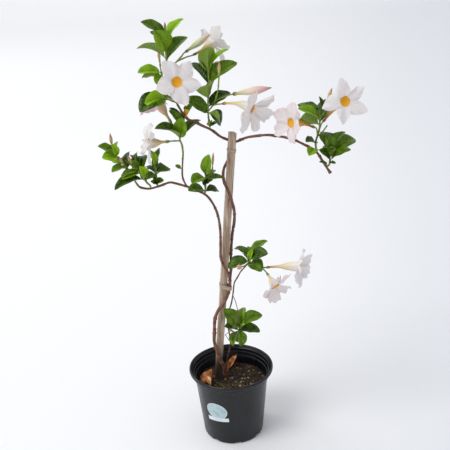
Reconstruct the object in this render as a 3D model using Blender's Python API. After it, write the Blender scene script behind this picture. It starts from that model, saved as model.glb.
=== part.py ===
"""A potted dipladenia tied to a square wooden stake, in a round nursery pot.

Metres, +Z up. The origin is the middle of the pot's flat bottom and -Y is the front.
Routes, leaves and blooms are listed in millimetres and turned to metres where they are read.
"""
import math

import bmesh
import bpy
from mathutils import Matrix, Vector, noise

MM = 0.001
GAP = 0.3 * MM                 # air kept between pieces that touch
SHARP_FROM = 40                # degrees between two faces from which their edge is drawn sharp

# Pot: a 16.5 cm nursery pot with a rolled lip and a stepped collar
POT_HEIGHT = 143 * MM
POT_LIP_RADIUS = 82.5 * MM
POT_FOOT_RADIUS = 56 * MM
POT_WALL_FOOT = (59.9 * MM, 10 * MM)      # radius and height where the straight wall starts
POT_WALL_TOP = (71.3 * MM, 121 * MM)      # radius and height where it meets the collar
POT_THICKNESS = 1.5 * MM
POT_FLOOR = 2.0 * MM
POT_SIDES = 32
COLLAR_STEP = 2.6 * MM         # how far each of the two collar rings stands out
COLLAR_RING = 7.5 * MM         # height of one ring
COLLAR_SLOPE = 1.2 * MM        # height of the slope under a ring
COLLAR_DRAFT = 0.4 * MM        # how much a ring widens to its top
LIP_WIDTH = 3 * MM
LIP_ROUND = 2.5 * MM           # height of the slope under the lip's widest part
FOOT_ROUND = (2.6 * MM, 3 * MM)           # width and height of the rounded foot
INSIDE_FOOT = 11 * MM          # height where the inside turns in to the floor
DRAIN_COUNT = 8
DRAIN_WIDTH = 15 * MM
DRAIN_HEIGHT = 5 * MM
DRAIN_DEPTH = 9 * MM           # depth of the cutter, from inside the wall to beyond the foot
DRAIN_START = -38.4            # degrees, the notch at the lower right of the front

# Soil
SOIL_TOP = 108 * MM
SOIL_BUMP = 2.2 * MM
SOIL_BUMP_SIZE = 16 * MM
SOIL_RINGS = (0.96, 0.70, 0.46, 0.22)     # radii of the rings on its top, as shares of the widest
HOLE_RINGS = 5                 # rings of a stem's route that its hole follows, out to above the soil

# Stake
STAKE_FOOT = (-37, 9.5, 12)    # mm, inside the soil
STAKE_TOP = (23, 0, 610)       # mm
STAKE_WIDTH = 12.8 * MM
STAKE_TURN = 8                 # degrees about its own length
STAKE_EDGE = 0.8 * MM          # bevel of its long edges

# Ties
TIE_THICKNESS = 1.5 * MM
TIE_SIDES = 16
TIED_STEM = 3.1 * MM           # radius kept free for the stem inside a tie
TIED_STEP = 2 * MM             # distance between the places of the stem that a tie is drawn round

# Label
LABEL_ANGLE = -119             # degrees round the pot
LABEL_HEIGHT = 78 * MM         # middle of the oval above the table
LABEL_TILT = -8                # degrees
LABEL_OVAL = (22 * MM, 17 * MM)
LABEL_STRIP = (46 * MM, 8.5 * MM)
LABEL_STRIP_DROP = 18.5 * MM
LABEL_THICKNESS = 0.6 * MM
LABEL_ARC = 14                 # pieces of the oval's edge
LABEL_BEND = 6.5 * MM          # width of the strips that it bends in

# Leaves and stems
BLADE = 0.8 * MM               # thickness of a leaf
LEAF_FOLD = 28                 # degrees that each half rises from the rib
LEAF_ARCH = 0.09               # rise of the rib's middle, as a share of the length
LEAF_STATIONS = (0.0, 0.42, 0.76)
LEAF_SHAPE = (0.0, 1.0, 0.80)  # half-width there, between petiole and full width
PETIOLE = 1.9 * MM             # width of the leaf's stalk
WOODY_STEP = 12 * MM           # distance between the rings of a woody stem
GREEN_STEP = 16 * MM           # and of a green one
GREEN_STEM = 1.4 * MM          # radius of a leafy shoot
PEDICEL = 1.1 * MM             # radius of a flower stalk
CALYX = 1.5 * MM               # radius of a flower stalk's end
STALK_END = 5                  # mm of a flower stalk that run straight to its bloom

# Blooms
PETAL = 0.8 * MM               # thickness of a petal and of the tube's wall
TUBE_RINGS = ((0.0, 1.7 * MM), (0.42, 2.9 * MM), (1.0, 9.2 * MM))
THROAT_END = 0.56              # where the hollow throat closes, as a share of the tube
THROAT_NARROW = 0.7            # radius there, as a share of the tube's own
LIP_RISE = 0.012               # how far before the mouth its inner wall starts, as a share of the tube
NOTCH = 0.66                   # radius of the notches between the petals, as a share of the petals' reach
SHOULDERS = (-0.56, 0.60)      # where a petal's two corners lie, as shares of the way to the next notch
CORNERS = (0.86, 0.88)         # their reach, as shares of the petal's
RUFFLE = 1.5 * MM              # how far the petals' middles and notches stand forward
TWIST = 2 * MM                 # how far each petal's one corner stands before the other

# Buds: (share of the length, share of the greatest radius)
BUD_SIDES = 6
BUD_PROFILE = ((0.0, 0.30), (0.22, 0.52), (0.48, 0.96), (0.68, 0.90), (0.88, 0.42), (1.0, 0.10))


def at(point):
    """A place in metres from one in millimetres."""
    return Vector(point) * MM


def aim(heading, lift):
    """Unit vector from a heading round +Z and a lift above the level, both in degrees."""
    turn, rise = math.radians(heading), math.radians(lift)
    return Vector((math.cos(rise) * math.cos(turn), math.cos(rise) * math.sin(turn), math.sin(rise)))


# Woody stems: (route in mm, radius at the start and at the end in mm, sides)
TRUNK = [(-10, 11, 96), (-11, 9, 108), (-12, 6, 117), (-14, -1, 138), (-20, -6, 159), (-26, -6, 182),
         (-30, -4, 200), (-29, -3, 216), (-28, -3, 233), (-26, -4, 250), (-19, -7, 269), (-8, -8, 283),
         (0, -6, 299), (5, -4, 315), (6, -4, 330)]
LEFT_BRANCH = [(6, -4, 330), (3, -8, 347), (-5, -9, 364), (-9, -8, 381), (-8, -7, 402), (-7, -7, 425),
               (-8, -8, 448), (-11, -9, 466), (-18, -12, 486), (-28, -15, 502), (-40, -18, 511),
               (-59, -20, 521), (-81, -20, 529), (-92, -20, 531), (-106, -22, 527), (-125, -24, 523),
               (-137, -26, 525), (-144, -28, 529), (-148, -30, 536)]
RISER = [(-59, -20, 521), (-64, -19, 527), (-68, -18, 542), (-66, -18, 566), (-64, -18, 582)]
TWINER = [(6, -4, 330), (9, 2, 350), (10, 10, 372), (12, 13, 394), (15, 11, 419), (19, 4, 442),
          (20, -5, 464), (17, -10, 485), (11, -12, 506), (5, -9, 521), (3, -2, 532), (5, 8, 543),
          (11, 13, 553), (19, 15, 567), (23, 13, 580), (23, 13, 590)]
TOP_LEFT_BRANCH = [(23, 13, 590), (17, 13, 593), (8, 9, 598), (0, 4, 604), (-13, 0, 616), (-30, -4, 626),
                   (-41, -8, 634), (-52, -10, 639), (-59, -12, 648), (-64, -12, 657), (-68, -12, 665)]
RIGHT_BRANCH = [(23, 13, 590), (31, 11, 591), (38, 6, 595), (49, 0, 600), (64, -6, 603), (84, -12, 605),
                (106, -16, 602), (126, -20, 597), (144, -22, 588), (161, -24, 578), (170, -24, 568),
                (175, -24, 559), (183, -24, 546), (190, -24, 535)]
WOODY_STEMS = [(TRUNK, 3.5, 3.0, 8), (LEFT_BRANCH, 2.5, 1.9, 6), (RISER, 1.7, 1.4, 6),
               (TWINER, 2.8, 2.5, 8),
               (TOP_LEFT_BRANCH, 2.4, 2.1, 6), (RIGHT_BRANCH, 2.2, 1.9, 6)]

LOW_STEM = [(-9, 50, 96), (-8, 48, 110), (-7, 46, 127), (-3, 40, 149), (1, 34, 171), (0, 28, 197),
            (-3, 22, 227),
            (1, 17, 252), (7, 12, 274), (11, 8, 297), (14, 2, 320), (20, -4, 334), (27, -8, 348),
            (35, -12, 359), (41, -14, 366)]
LOW_STEM_RADII = (1.5, 1.3)    # mm at the soil and at the top
TENDRIL_RADII = (0.7, 0.6)
TENDRIL = [(10, 9, 292), (15, -12, 286), (18, -30, 272), (13, -37, 256), (3, -35, 240), (-7, -16, 221),
           (-6, 8, 203), (0, 33, 177)]

# Leaves: (mm back from the stem's tip, heading, lift, length, width, roll about its own length), with
# degrees and millimetres.
# A shoot's first stem carries them; its side stalks end at blooms and buds, or bear leaves of their own.
SHOOTS = {
    "shoot_top_left": {
        "stem": [(-68.2, -12, 665.4), (-72, -8, 676), (-77, -4, 696), (-81, 0, 719), (-82, 2, 738),
                 (-82, 2, 753), (-82, 2, 768), (-81, 2, 781)],
        "face": (0, -0.7, 1),
        "leaves": [(20, -154, 48, 58, 27, 36), (15, 38, 43, 54, 19, -27), (28, -117, 50, 46, 28, -39),
                   (41, -177, 26, 52, 28, 45), (43, 37, 38, 57, 24, -11), (7, 117, 49, 22, 10, 42)],
        "branches": [
            {"stem": [(-71, -9, 673), (-83, -18, 682), (-90, -18, 697), (-90, -16, 712), (-91, -16, 725),
                      (-92, -16, 735)],
             "leaves": [(15, -147, 9, 44, 20, 7), (19, -148, 3, 38, 18, 69), (17, -112, -34, 24, 14, 18)]},
            {"stem": [(-69.5, -11, 669), (-77, -20, 674), (-86, -27, 680)],
             "leaves": [(0, -137, -10, 57, 32, 9), (0, -136, 1, 44, 24, -19), (8, -149, -10, 54, 25, 37)]}],
        "stalks": [([(-81, 0, 722), (-73, 3, 729), (-64, 6, 735)], None),
                   ([(-64, 6, 735), (-49, 14, 740)], "bloom_top"),
                   ([(-66, 5, 734), (-57, 10, 742)], "bud_top"),
                   ([(-76, -4, 692), (-74, 3, 697)], "bloom_front_left"),
                   ([(-82, 2, 774), (-81, 2, 779)], "bud_shoot_tip"),
                   ([(-92, -16, 730)], "bud_side_shoot")]},
    "shoot_top_middle": {
        "stem": [(-15.6, -1, 622), (-16, -3, 628), (-17, -5, 640), (-17, -6, 659), (-15, -6, 677),
                 (-13, -6, 697),
                 (-13, -6, 712), (-13, -6, 726)],
        "face": (0, -0.7, 1),
        "leaves": [(13, -82, 68, 50, 27, -150), (11, 9, 49, 51, 15, -37), (31, 6, 37, 60, 25, -13),
                   (33, 56, 55, 48, 15, -44), (13, 122, 47, 38, 22, 32), (31, 133, 42, 54, 22, 29),
                   (55, -89, 49, 38, 29, 20), (80, -156, 38, 50, 24, -7), (69, 12, 31, 46, 24, -15),
                   (78, -51, -19, 34, 15, -88), (78, 39, -41, 38, 24, 13), (105, -39, 29, 18, 9, -14)],
        "branches": [],
        "stalks": [([(-17, -6, 650), (-8, -10, 661), (-3, -14, 670)], None),
                   ([(-5, -12.5, 666), (1, -21, 686)], "bud_upright"),
                   ([(-3.5, -13.6, 669), (12, -15, 675)], "bud_pink"),
                   ([(-10, -9, 659), (-4, -16, 663)], "bloom_side")]},
    "shoot_riser": {
        "stem": [(-64.0, -18, 582.4), (-65, -18, 597), (-68, -18, 606), (-66, -18, 615), (-63, -18, 626)],
        "face": (0, -0.7, 1),
        "leaves": [(18, -148, 31, 52, 27, 36), (17, -69, 64, 42, 22, 0), (17, 47, 24, 57, 18, -21),
                   (10, 117, 49, 54, 20, 50)],
        "branches": [],
        "stalks": [([(-68, -18, 604), (-74, -21, 605)], "bloom_left_edge"),
                   ([(-66, -18, 614), (-71, -11, 620)], "bloom_behind_left")]},
    "shoot_left_outer": {
        "stem": [(-148.2, -30.1, 536.4), (-153, -30, 547), (-160, -30, 562), (-169, -30, 575),
                 (-178, -30, 586),
                 (-182, -30, 597)],
        "face": (-0.2, -0.7, 1),
        "leaves": [(8, -152, 34, 34, 18, 16), (20, -142, 19, 34, 21, -9), (14, 96, 35, 35, 17, -29),
                   (13, -102, 62, 28, 12, 80), (41, -134, 5, 34, 18, 24), (41, 88, 38, 38, 18, -33),
                   (32, 148, 11, 26, 13, 17)],
        "branches": [],
        "stalks": [([(-161, -30, 563), (-162, -34, 565)], "bud_left_fore"),
                   ([(-181, -30, 594)], "bud_left_tip")]},
    "shoot_left_middle": {
        "stem": [(-124.3, -24.6, 526), (-125, -25, 529), (-131, -28, 537), (-138, -30, 552),
                 (-144, -30, 563)],
        "face": (0, -0.7, 1),
        "leaves": [(0, 96, 45, 34, 17, -55), (13, 93, 36, 42, 28, -25), (12, -133, 5, 42, 16, 14),
                   (24, -142, -2, 60, 24, 22), (23, -105, 63, 30, 15, 14), (7, -130, 3, 42, 15, 20),
                   (31, 93, 31, 34, 17, -47)],
        "branches": [],
        "stalks": [([(-142, -30, 559), (-145, -34, 561)], "bud_left_hind")]},
    "shoot_left_inner": {
        "stem": [(-112.6, -22.8, 528.2), (-112.5, -23, 532), (-113, -24, 549), (-113, -24, 563)],
        "face": (0, -0.7, 1),
        "leaves": [(13, 69, 63, 46, 15, -41), (0, -126, 75, 30, 14, 44), (15, -35, 21, 34, 15, -27),
                   (14, 131, 15, 32, 15, 26), (15, -125, -1, 25, 16, 10), (33, -50, 30, 22, 12, 8),
                   (10, 51, -3, 34, 20, -7)],
        "branches": [],
        "stalks": []},
    "shoot_low_left": {
        "stem": [(-30.4, -15.5, 507.5), (-29.5, -16, 514), (-28, -18, 528), (-27, -18, 541)],
        "face": (0, -0.7, 1),
        "leaves": [(1, -65, 67, 44, 27, -4), (6, -128, 3, 38, 22, 20), (30, -145, 14, 36, 21, 19),
                   (31, 40, -9, 32, 17, -16), (11, 25, 5, 28, 16, -35), (9, 59, 20, 32, 16, -28),
                   (21, -110, 51, 24, 15, -21)],
        "branches": [],
        "stalks": [([(-27.5, -18, 534), (-19, -19, 541)], "bud_low_left")]},
    "shoot_right_upper": {
        "stem": [(164.8, -24.6, 579), (164.6, -25, 582), (164, -26, 592), (167, -28, 604), (170, -30, 617),
                 (170, -32, 631), (170, -32, 645)],
        "face": (0, -0.7, 1),
        "leaves": [(12, 131, 26, 52, 27, 37), (16, -151, 33, 52, 20, 19), (22, -146, 24, 48, 27, 86),
                   (10, 61, 43, 40, 15, -53), (18, 54, 18, 44, 21, -22), (57, -130, 21, 30, 18, 13),
                   (67, -123, -8, 26, 17, 18)],
        "branches": [],
        "stalks": [([(166, -28, 600), (166, -33, 608)], "bloom_right_pink"),
                   ([(168, -29, 609), (171, -27, 617)], "bloom_right_white"),
                   ([(170, -31, 632), (178, -30, 646)], "bud_right"),
                   ([(166, -27.5, 602), (174, -26, 607), (184, -25, 620)], None)]},
    "shoot_right_lower": {
        "stem": [(184.5, -24.7, 547.7), (187.2, -26.0, 550.0), (188.5, -28, 558), (187, -30, 570),
                 (188, -32, 584)],
        "face": (0.1, -0.7, 1),
        "leaves": [(11, 25, 19, 56, 27, -17), (10, 38, 41, 48, 19, -40), (11, 96, 38, 48, 29, 27),
                   (10, -113, 62, 40, 21, -20), (22, -110, 58, 32, 20, 87), (26, -39, 34, 46, 17, -15),
                   (25, -150, 45, 32, 15, 4), (32, -63, 17, 18, 7, -3), (19, 111, 42, 44, 16, 35)],
        "branches": [],
        "stalks": []},
    "shoot_low_right": {
        "stem": [(41.5, -14.2, 366.7), (44, -15, 372), (46, -16, 380), (47, -18, 392)],
        "face": (0.1, -0.7, 1),
        "leaves": [(21, -175, -11, 42, 25, 24), (15, 142, 21, 38, 20, 44), (9, 100, 31, 22, 12, 41),
                   (10, 34, 28, 44, 19, -41), (15, -33, 24, 40, 24, 0), (26, -52, -7, 36, 25, -9),
                   (24, 111, 17, 28, 14, 38), (21, -33, 75, 26, 11, -41)],
        "branches": [],
        "stalks": [([(43, -14.6, 370), (54, -17, 366), (62, -22, 363)], None),
                   ([(60, -20.8, 363.6), (67, -23, 362)], "bloom_low_side"),
                   ([(60, -20.8, 363.6), (68, -25, 358)], "bloom_low_front"),
                   ([(43.6, -14.9, 371), (40, -19, 369), (35, -23, 366)], "bud_round")]},
    "shoot_low_front": {
        "stem": [(0.1, 24.0, 209.3), (2.5, 21.6, 209.6), (9, 12, 210), (16, 1, 216), (20, -5, 226),
                 (22.5, -9, 238)],
        "face": (0.1, -1, 0.75),
        "leaves": [(8, -163, 56, 52, 27, 21), (0, 77, 36, 38, 20, -41), (4, 12, 23, 47, 25, -41),
                   (18, -147, 33, 36, 20, 49), (23, -3, 0, 43, 22, -46), (15, -90, -22, 40, 20, -39),
                   (23, -108, -15, 38, 17, 55), (15, 158, 83, 23, 12, 38), (11, 6, 65, 21, 12, -47)],
        "branches": [],
        "stalks": []},
}

# Lone leaves on the woody stems: (foot on the stem, stem radius there, heading, lift, length, width)
LONE_LEAVES = {
    "leaf_small_green": ((-57, -11.5, 645.5), 2.2, 10, 57, 20, 12),
    "leaf_withered_yellow": ((-56, -11, 643), 1.1, -150, -35, 12, 10),
    "leaf_riser": ((-67, -18, 553), 2.0, -175, 35, 12, 7),
}

# Fallen leaves: base, heading, lift, length, width, the way the face looks, fold and arch
DRY_LEAVES = {
    "dry_leaf_left": ((-57, -14, 109.5), 52, 26, 34, 30, (0.3, -0.2, 1), -28, 0.14),
    "dry_leaf_right": ((-4, 33, 109.3), 62, 17, 40.8, 14, (-0.3, -0.6, 1), 42, -0.02),
}

# Blooms: tube's base and mouth in mm, the way the face looks, and the petals:
# angle round the face, reach and how far forward the tip lies, in degrees and mm.
BLOOMS = {
    "bloom_front_left": ((-67, -11, 703), (-64, -55, 710), (0.06, -0.98, 0.16), False,
                         ((44, 40, 3), (111, 40, 3), (185, 35, 2), (282, 41, 0), (340, 40, 3))),
    "bloom_top": ((-36, 20, 743), (-3, 38, 757), (0.76, 0.52, 0.38), False,
                  ((40, 33, 2), (110, 32, 12), (188, 34, 8), (250, 35, 5), (320, 30, 0))),
    "bloom_side": ((9, -22, 665), (57, -38, 657), (0.78, -0.45, -0.43), False,
                   ((40, 41, 17), (115, 38, 0), (250, 45, 3), (288, 44, 16), (341, 36, 24))),
    "bloom_right_pink": ((160, -35, 620), (119, -55, 634), (-0.80, -0.59, 0.08), True,
                         ((66, 36, 4), (147, 35, 10), (214, 33, 14), (283, 36, 5), (347, 33, 10))),
    "bloom_right_white": ((177, -28, 628), (209, -50, 664), (0.25, -0.93, 0.27), False,
                          ((26, 41, 5), (82, 40, 2), (182, 41, -6), (246, 39, 4), (322, 43, 4))),
    "bloom_low_front": ((75, -31, 351), (87, -57, 338), (0.42, -0.66, -0.62), True,
                        ((45, 37, -4), (108, 34, -3), (165, 34, 7), (262, 32, 17), (330, 35, 11))),
    "bloom_low_side": ((75, -24, 361), (131, -34, 364), (0.93, -0.35, 0.05), False,
                       ((78, 38, 11), (10, 34, 18), (148, 33, 12), (250, 40, 5), (312, 36, 13))),
    "bloom_behind_left": ((-82, -2, 634), (-101, 11, 664), (-0.50, 0.35, 0.79), True,
                          ((10, 35, 4), (82, 34, 4), (154, 35, 6), (226, 34, 4), (298, 35, 6))),
    "bloom_left_edge": ((-86.5, -26, 606), (-119, -31, 606), (-0.95, -0.30, 0.05), False,
                        ((65, 38, 0), (138, 38, 2), (5, 36, 10), (208, 36, 8), (278, 39, 2))),
}

# Buds: base and tip in mm, and the greatest radius in mm
BUDS = {
    "bud_top": ((-49, 15, 749), (-7, 15, 775), 5.8),
    "bud_pink": ((27, -16, 679), (91, -24, 688), 7.0),
    "bud_upright": ((4, -27, 709), (6, -27, 737), 3.0),
    "bud_shoot_tip": ((-80.6, 2, 785), (-80, 2, 800), 2.0),
    "bud_side_shoot": ((-92, -16, 739), (-93, -16, 755), 2.6),
    "bud_right": ((182, -30, 660), (191, -30, 684), 3.0),
    "bud_left_tip": ((-182.6, -31, 601.5), (-184, -32, 627), 2.8),
    "bud_left_fore": ((-164, -38, 569), (-173, -40, 589), 2.5),
    "bud_left_hind": ((-150, -40, 567), (-157, -42, 591), 2.5),
    "bud_low_left": ((-15, -19, 552), (-12, -19, 581), 2.3),
    "bud_round": ((27, -28, 366.5), (21.5, -46, 373.5), 4.6),
}


def principled(name, colour, roughness, metallic=0.0):
    """A Principled material of one colour."""
    material = bpy.data.materials.new(name)
    material.use_nodes = True
    shader = material.node_tree.nodes["Principled BSDF"]
    shader.inputs["Base Color"].default_value = (*colour, 1)
    shader.inputs["Roughness"].default_value = roughness
    shader.inputs["Metallic"].default_value = metallic
    material.diffuse_color = (*colour, 1)
    return material


def new_object(name, mesh, material, origin=(0, 0, 0)):
    """An object whose own origin is at a place in millimetres, around a mesh in world places."""
    home = at(origin)
    mesh.transform(Matrix.Translation(-home))
    mesh.name = name
    mesh.materials.clear()
    mesh.materials.append(material)
    mesh.shade_smooth()
    mesh.set_sharp_from_angle(angle=math.radians(SHARP_FROM))
    made = bpy.data.objects.new(name, mesh)
    made.location = home
    made.parent = PLANT
    bpy.context.scene.collection.objects.link(made)
    return made


def closed_mesh(name, bm):
    """A mesh with its faces turned outwards, from a bmesh that it frees."""
    bmesh.ops.recalc_face_normals(bm, faces=bm.faces[:])
    if bm.calc_volume(signed=True) < 0:
        bmesh.ops.reverse_faces(bm, faces=bm.faces[:])
    mesh = bpy.data.meshes.new(name)
    bm.to_mesh(mesh)
    bm.free()
    return mesh


def smooth_route(points, step=WOODY_STEP):
    """Places about a step apart along a smooth curve through the given ones."""
    knots = [at(p) for p in points]
    knots = [2 * knots[0] - knots[1]] + knots + [2 * knots[-1] - knots[-2]]
    route = []
    for before, start, end, after in zip(knots, knots[1:], knots[2:], knots[3:]):
        pieces = max(1, round((end - start).length / step))
        for piece in range(pieces):
            t = piece / pieces
            route.append(0.5 * (2 * start + (end - before) * t
                                + (2 * before - 5 * start + 4 * end - after) * t * t
                                + (3 * start - 3 * end + after - before) * t ** 3))
    return route + [knots[-2]]


def tube(route, start_radius, end_radius, sides=6, end_swell=None):
    """A closed tube along a route, as a mesh; the last ring may be given a radius of its own."""
    curve = bpy.data.curves.new("tube", "CURVE")
    curve.dimensions = "3D"
    curve.bevel_depth = 1.0
    curve.bevel_resolution = (sides - 4) // 2
    curve.use_fill_caps = True
    spline = curve.splines.new("POLY")
    spline.points.add(len(route) - 1)
    for index, (point, place) in enumerate(zip(spline.points, route)):
        point.co = (*place, 1)
        point.radius = start_radius + (end_radius - start_radius) * index / (len(route) - 1)
    if end_swell:
        spline.points[-1].radius = end_swell
    guide = bpy.data.objects.new("tube", curve)
    bpy.context.scene.collection.objects.link(guide)
    bpy.context.view_layer.update()
    mesh = bpy.data.meshes.new_from_object(guide.evaluated_get(bpy.context.evaluated_depsgraph_get()))
    bpy.data.objects.remove(guide)
    bm = bmesh.new()
    bm.from_mesh(mesh)
    bpy.data.meshes.remove(mesh)
    bmesh.ops.remove_doubles(bm, verts=bm.verts[:], dist=0.01 * MM)
    return closed_mesh("tube", bm)


def point_back(route, distance):
    """The place that lies a distance back from a route's end."""
    left = distance
    for start, end in zip(route[-2::-1], route[::-1]):
        length = (end - start).length
        if left <= length:
            return end.lerp(start, left / length)
        left -= length
    return route[0].copy()


def leaf(base, heading, lift, length, width, face, roll=0, fold=LEAF_FOLD, arch=LEAF_ARCH):
    """A leaf: a thin closed blade folded along its rib and arched between its base and its tip."""
    along = aim(heading, lift)
    up = Matrix.Rotation(math.radians(roll), 3, along) @ (face - face.dot(along) * along).normalized()
    across = along.cross(up)
    rise = math.radians(fold)
    bm = bmesh.new()
    skins = []
    for drop in (0.0, -BLADE):
        rows = []
        for share, breadth in zip(LEAF_STATIONS, LEAF_SHAPE):
            half = (PETIOLE + (width - PETIOLE) * breadth) / 2
            rib = base + along * length * share + up * (length * arch * 4 * share * (1 - share) + drop)
            edge = half * math.cos(rise) * across
            lifted = half * math.sin(rise) * up
            rows.append([bm.verts.new(place) for place in (rib - edge + lifted, rib, rib + edge + lifted)])
        tip = bm.verts.new(base + along * length + up * drop)
        skins.append((rows, tip))
    for rows, tip in skins:
        for near, far in zip(rows, rows[1:]):
            for side in (0, 1):
                a, b, c, d = near[side], near[side + 1], far[side + 1], far[side]
                split = ((a, b, c), (a, c, d)) if side == 0 else ((a, b, d), (b, c, d))
                for corners in split:
                    bm.faces.new(corners)
        bm.faces.new((rows[-1][0], rows[-1][1], tip))
        bm.faces.new((rows[-1][1], rows[-1][2], tip))
    (top, top_tip), (low, low_tip) = skins
    for side in (0, 2):
        upper = [row[side] for row in top] + [top_tip]
        lower = [row[side] for row in low] + [low_tip]
        for k in range(len(upper) - 1):
            bm.faces.new((upper[k], upper[k + 1], lower[k + 1], lower[k]))
    for side in (0, 1):
        bm.faces.new((top[0][side], top[0][side + 1], low[0][side + 1], low[0][side]))
    return closed_mesh("leaf", bm)


def fuse(name, meshes, material, origin):
    """One solid from several closed meshes, by one Boolean union on a collection."""
    whole = new_object(name, meshes[0], material)
    if len(meshes) > 1:
        parts = bpy.data.collections.new(name + "_parts")
        bpy.context.scene.collection.children.link(parts)
        for mesh in meshes[1:]:
            parts.objects.link(bpy.data.objects.new(name + "_part", mesh))
        union = whole.modifiers.new("union", "BOOLEAN")
        union.operation = "UNION"
        union.operand_type = "COLLECTION"
        union.collection = parts
        union.solver = "EXACT"
        bpy.context.view_layer.update()
        fused = bpy.data.meshes.new_from_object(whole.evaluated_get(bpy.context.evaluated_depsgraph_get()))
        bpy.data.objects.remove(whole)
        for part in parts.objects[:]:
            bpy.data.objects.remove(part)
        bpy.data.collections.remove(parts)
        whole = new_object(name, fused, material, origin)
    return whole


def tube_start(base, mouth, face):
    """The way a bloom's tube leaves its base, which bends evenly into the way its face looks."""
    reach = (mouth - base).length
    return (mouth - face * reach * 0.5 - base).normalized()


def bloom(name, base, mouth, look, petals):
    """A corolla: a hollow tube that widens to a throat and flares into five slanting petals."""
    base, mouth, face = at(base), at(mouth), Vector(look).normalized()
    bend = mouth - face * (mouth - base).length * 0.5
    up = (Vector((0, 0, 1)) - face.z * face).normalized()
    columns = []
    order = sorted((angle % 360, reach * MM, forward * MM) for angle, reach, forward in petals)
    for index, (angle, reach, forward) in enumerate(order):
        ahead = order[(index + 1) % len(order)][0] + (360 if index == len(order) - 1 else 0)
        behind = order[index - 1][0] - (360 if index == 0 else 0)
        columns.append((angle + SHOULDERS[0] * (angle - behind) / 2, CORNERS[0] * reach, 0.7 * forward))
        columns.append((angle, reach, forward))
        columns.append((angle + SHOULDERS[1] * (ahead - angle) / 2, CORNERS[1] * reach,
                        0.8 * forward + TWIST))
        next_reach = order[(index + 1) % len(order)][1]
        columns.append(((angle + ahead) / 2, NOTCH * min(reach, next_reach), RUFFLE))
    throat = TUBE_RINGS[-1][1]
    rings = []

    def tube_ring(share, radius):
        centre = (1 - share) ** 2 * base + 2 * share * (1 - share) * bend + share ** 2 * mouth
        way = ((1 - share) * (bend - base) + share * (mouth - bend)).normalized()
        ring_up = face.rotation_difference(way) @ up
        ring_right = ring_up.cross(way)
        ring = []
        for angle, _, _ in columns:
            turn = math.radians(angle)
            ring.append(centre + radius * (math.cos(turn) * ring_right + math.sin(turn) * ring_up))
        return ring

    def petal_ring(share, lift):
        right = up.cross(face)
        ring = []
        for angle, reach, forward in columns:
            turn = math.radians(angle)
            radius = throat + (reach - throat) * share
            front = forward * share ** 1.5 + RUFFLE * math.sin(math.pi * share)
            outward = math.cos(turn) * right + math.sin(turn) * up
            ring.append(mouth + radius * outward + (front + lift) * face)
        return ring

    for share, radius in TUBE_RINGS:
        rings.append(tube_ring(share, radius))
    for share in (0.5, 1.0):
        rings.append(petal_ring(share, 0))
    for share in (1.0, 0.5):
        rings.append(petal_ring(share, PETAL))
    rings.append(tube_ring(1 + LIP_RISE, throat - PETAL))
    rings.append(tube_ring(THROAT_END, TUBE_RINGS[1][1] * THROAT_NARROW))
    bm = bmesh.new()
    made = [[bm.verts.new(place) for place in ring] for ring in rings]
    outward = len(TUBE_RINGS) + 2
    for index, (near, far) in enumerate(zip(made, made[1:])):
        for k in range(len(columns)):
            a, b = near[k], near[(k + 1) % len(columns)]
            c, d = far[(k + 1) % len(columns)], far[k]
            flip = (k % 4 in (1, 2)) != (index >= outward)    # both skins split along the same diagonals
            for corners in (((a, b, d), (b, c, d)) if flip else ((a, b, c), (a, c, d))):
                bm.faces.new(corners)
    bm.faces.new(made[0])
    bm.faces.new(made[-1])
    return new_object(name, closed_mesh(name, bm), PETAL_PINK if BLOOMS[name][3] else PETAL_WHITE,
                      tuple(base / MM))


def bud(name, base, tip, radius):
    """A bud: a spindle that swells past its middle and ends in a point."""
    start, end = at(base), at(tip)
    way = (end - start).normalized()
    right = way.orthogonal().normalized()
    up = way.cross(right)
    bm = bmesh.new()
    rings = []
    for share, breadth in BUD_PROFILE:
        centre = start.lerp(end, share)
        ring = []
        for side in range(BUD_SIDES):
            turn = math.tau * side / BUD_SIDES
            outward = math.cos(turn) * right + math.sin(turn) * up
            ring.append(bm.verts.new(centre + radius * MM * breadth * outward))
        rings.append(ring)
    for near, far in zip(rings, rings[1:]):
        for k in range(BUD_SIDES):
            bm.faces.new((near[k], near[(k + 1) % BUD_SIDES], far[(k + 1) % BUD_SIDES], far[k]))
    bm.faces.new(rings[0])
    bm.faces.new(rings[-1])
    return new_object(name, closed_mesh(name, bm), BUD_CREAM, base)


def stalk_to(points, goal):
    """A flower stalk's route: through its points, then straight into its bloom's or bud's base."""
    if goal is None:
        return [Vector(p) for p in points]
    if goal in BLOOMS:
        base, mouth, look = BLOOMS[goal][:3]
        way = tube_start(at(base), at(mouth), Vector(look).normalized())
    else:
        base, tip = BUDS[goal][:2]
        way = (at(tip) - at(base)).normalized()
    end = Vector(base)
    return [Vector(p) for p in points] + [end - way * STALK_END, end - way * GAP / MM]


def shoot(name, plan):
    """A leafy shoot: its green stem and side stems, with their leaves and flower stalks, in one solid."""
    face = Vector(plan["face"]).normalized()
    meshes = []
    for stem in [plan] + plan["branches"]:
        route = smooth_route(stem["stem"], GREEN_STEP)
        meshes.append(tube(route, GREEN_STEM, GREEN_STEM * 0.9))
        for back, heading, lift, length, width, roll in stem["leaves"]:
            base = point_back(route, max(back, 1.0) * MM)
            meshes.append(leaf(base, heading, lift, length * MM, width * MM, face, roll))
    for points, goal in plan["stalks"]:
        route = smooth_route(stalk_to(points, goal), GREEN_STEP)
        meshes.append(tube(route, PEDICEL, PEDICEL, sides=4, end_swell=CALYX if goal in BLOOMS else None))
    return fuse(name, meshes, LEAF_GREEN, plan["stem"][0])


def wall_radius(height):
    """Outer radius of the pot's straight wall at a height."""
    (low_radius, low), (top_radius, top) = POT_WALL_FOOT, POT_WALL_TOP
    return low_radius + (top_radius - low_radius) * (height - low) / (top - low)


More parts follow.
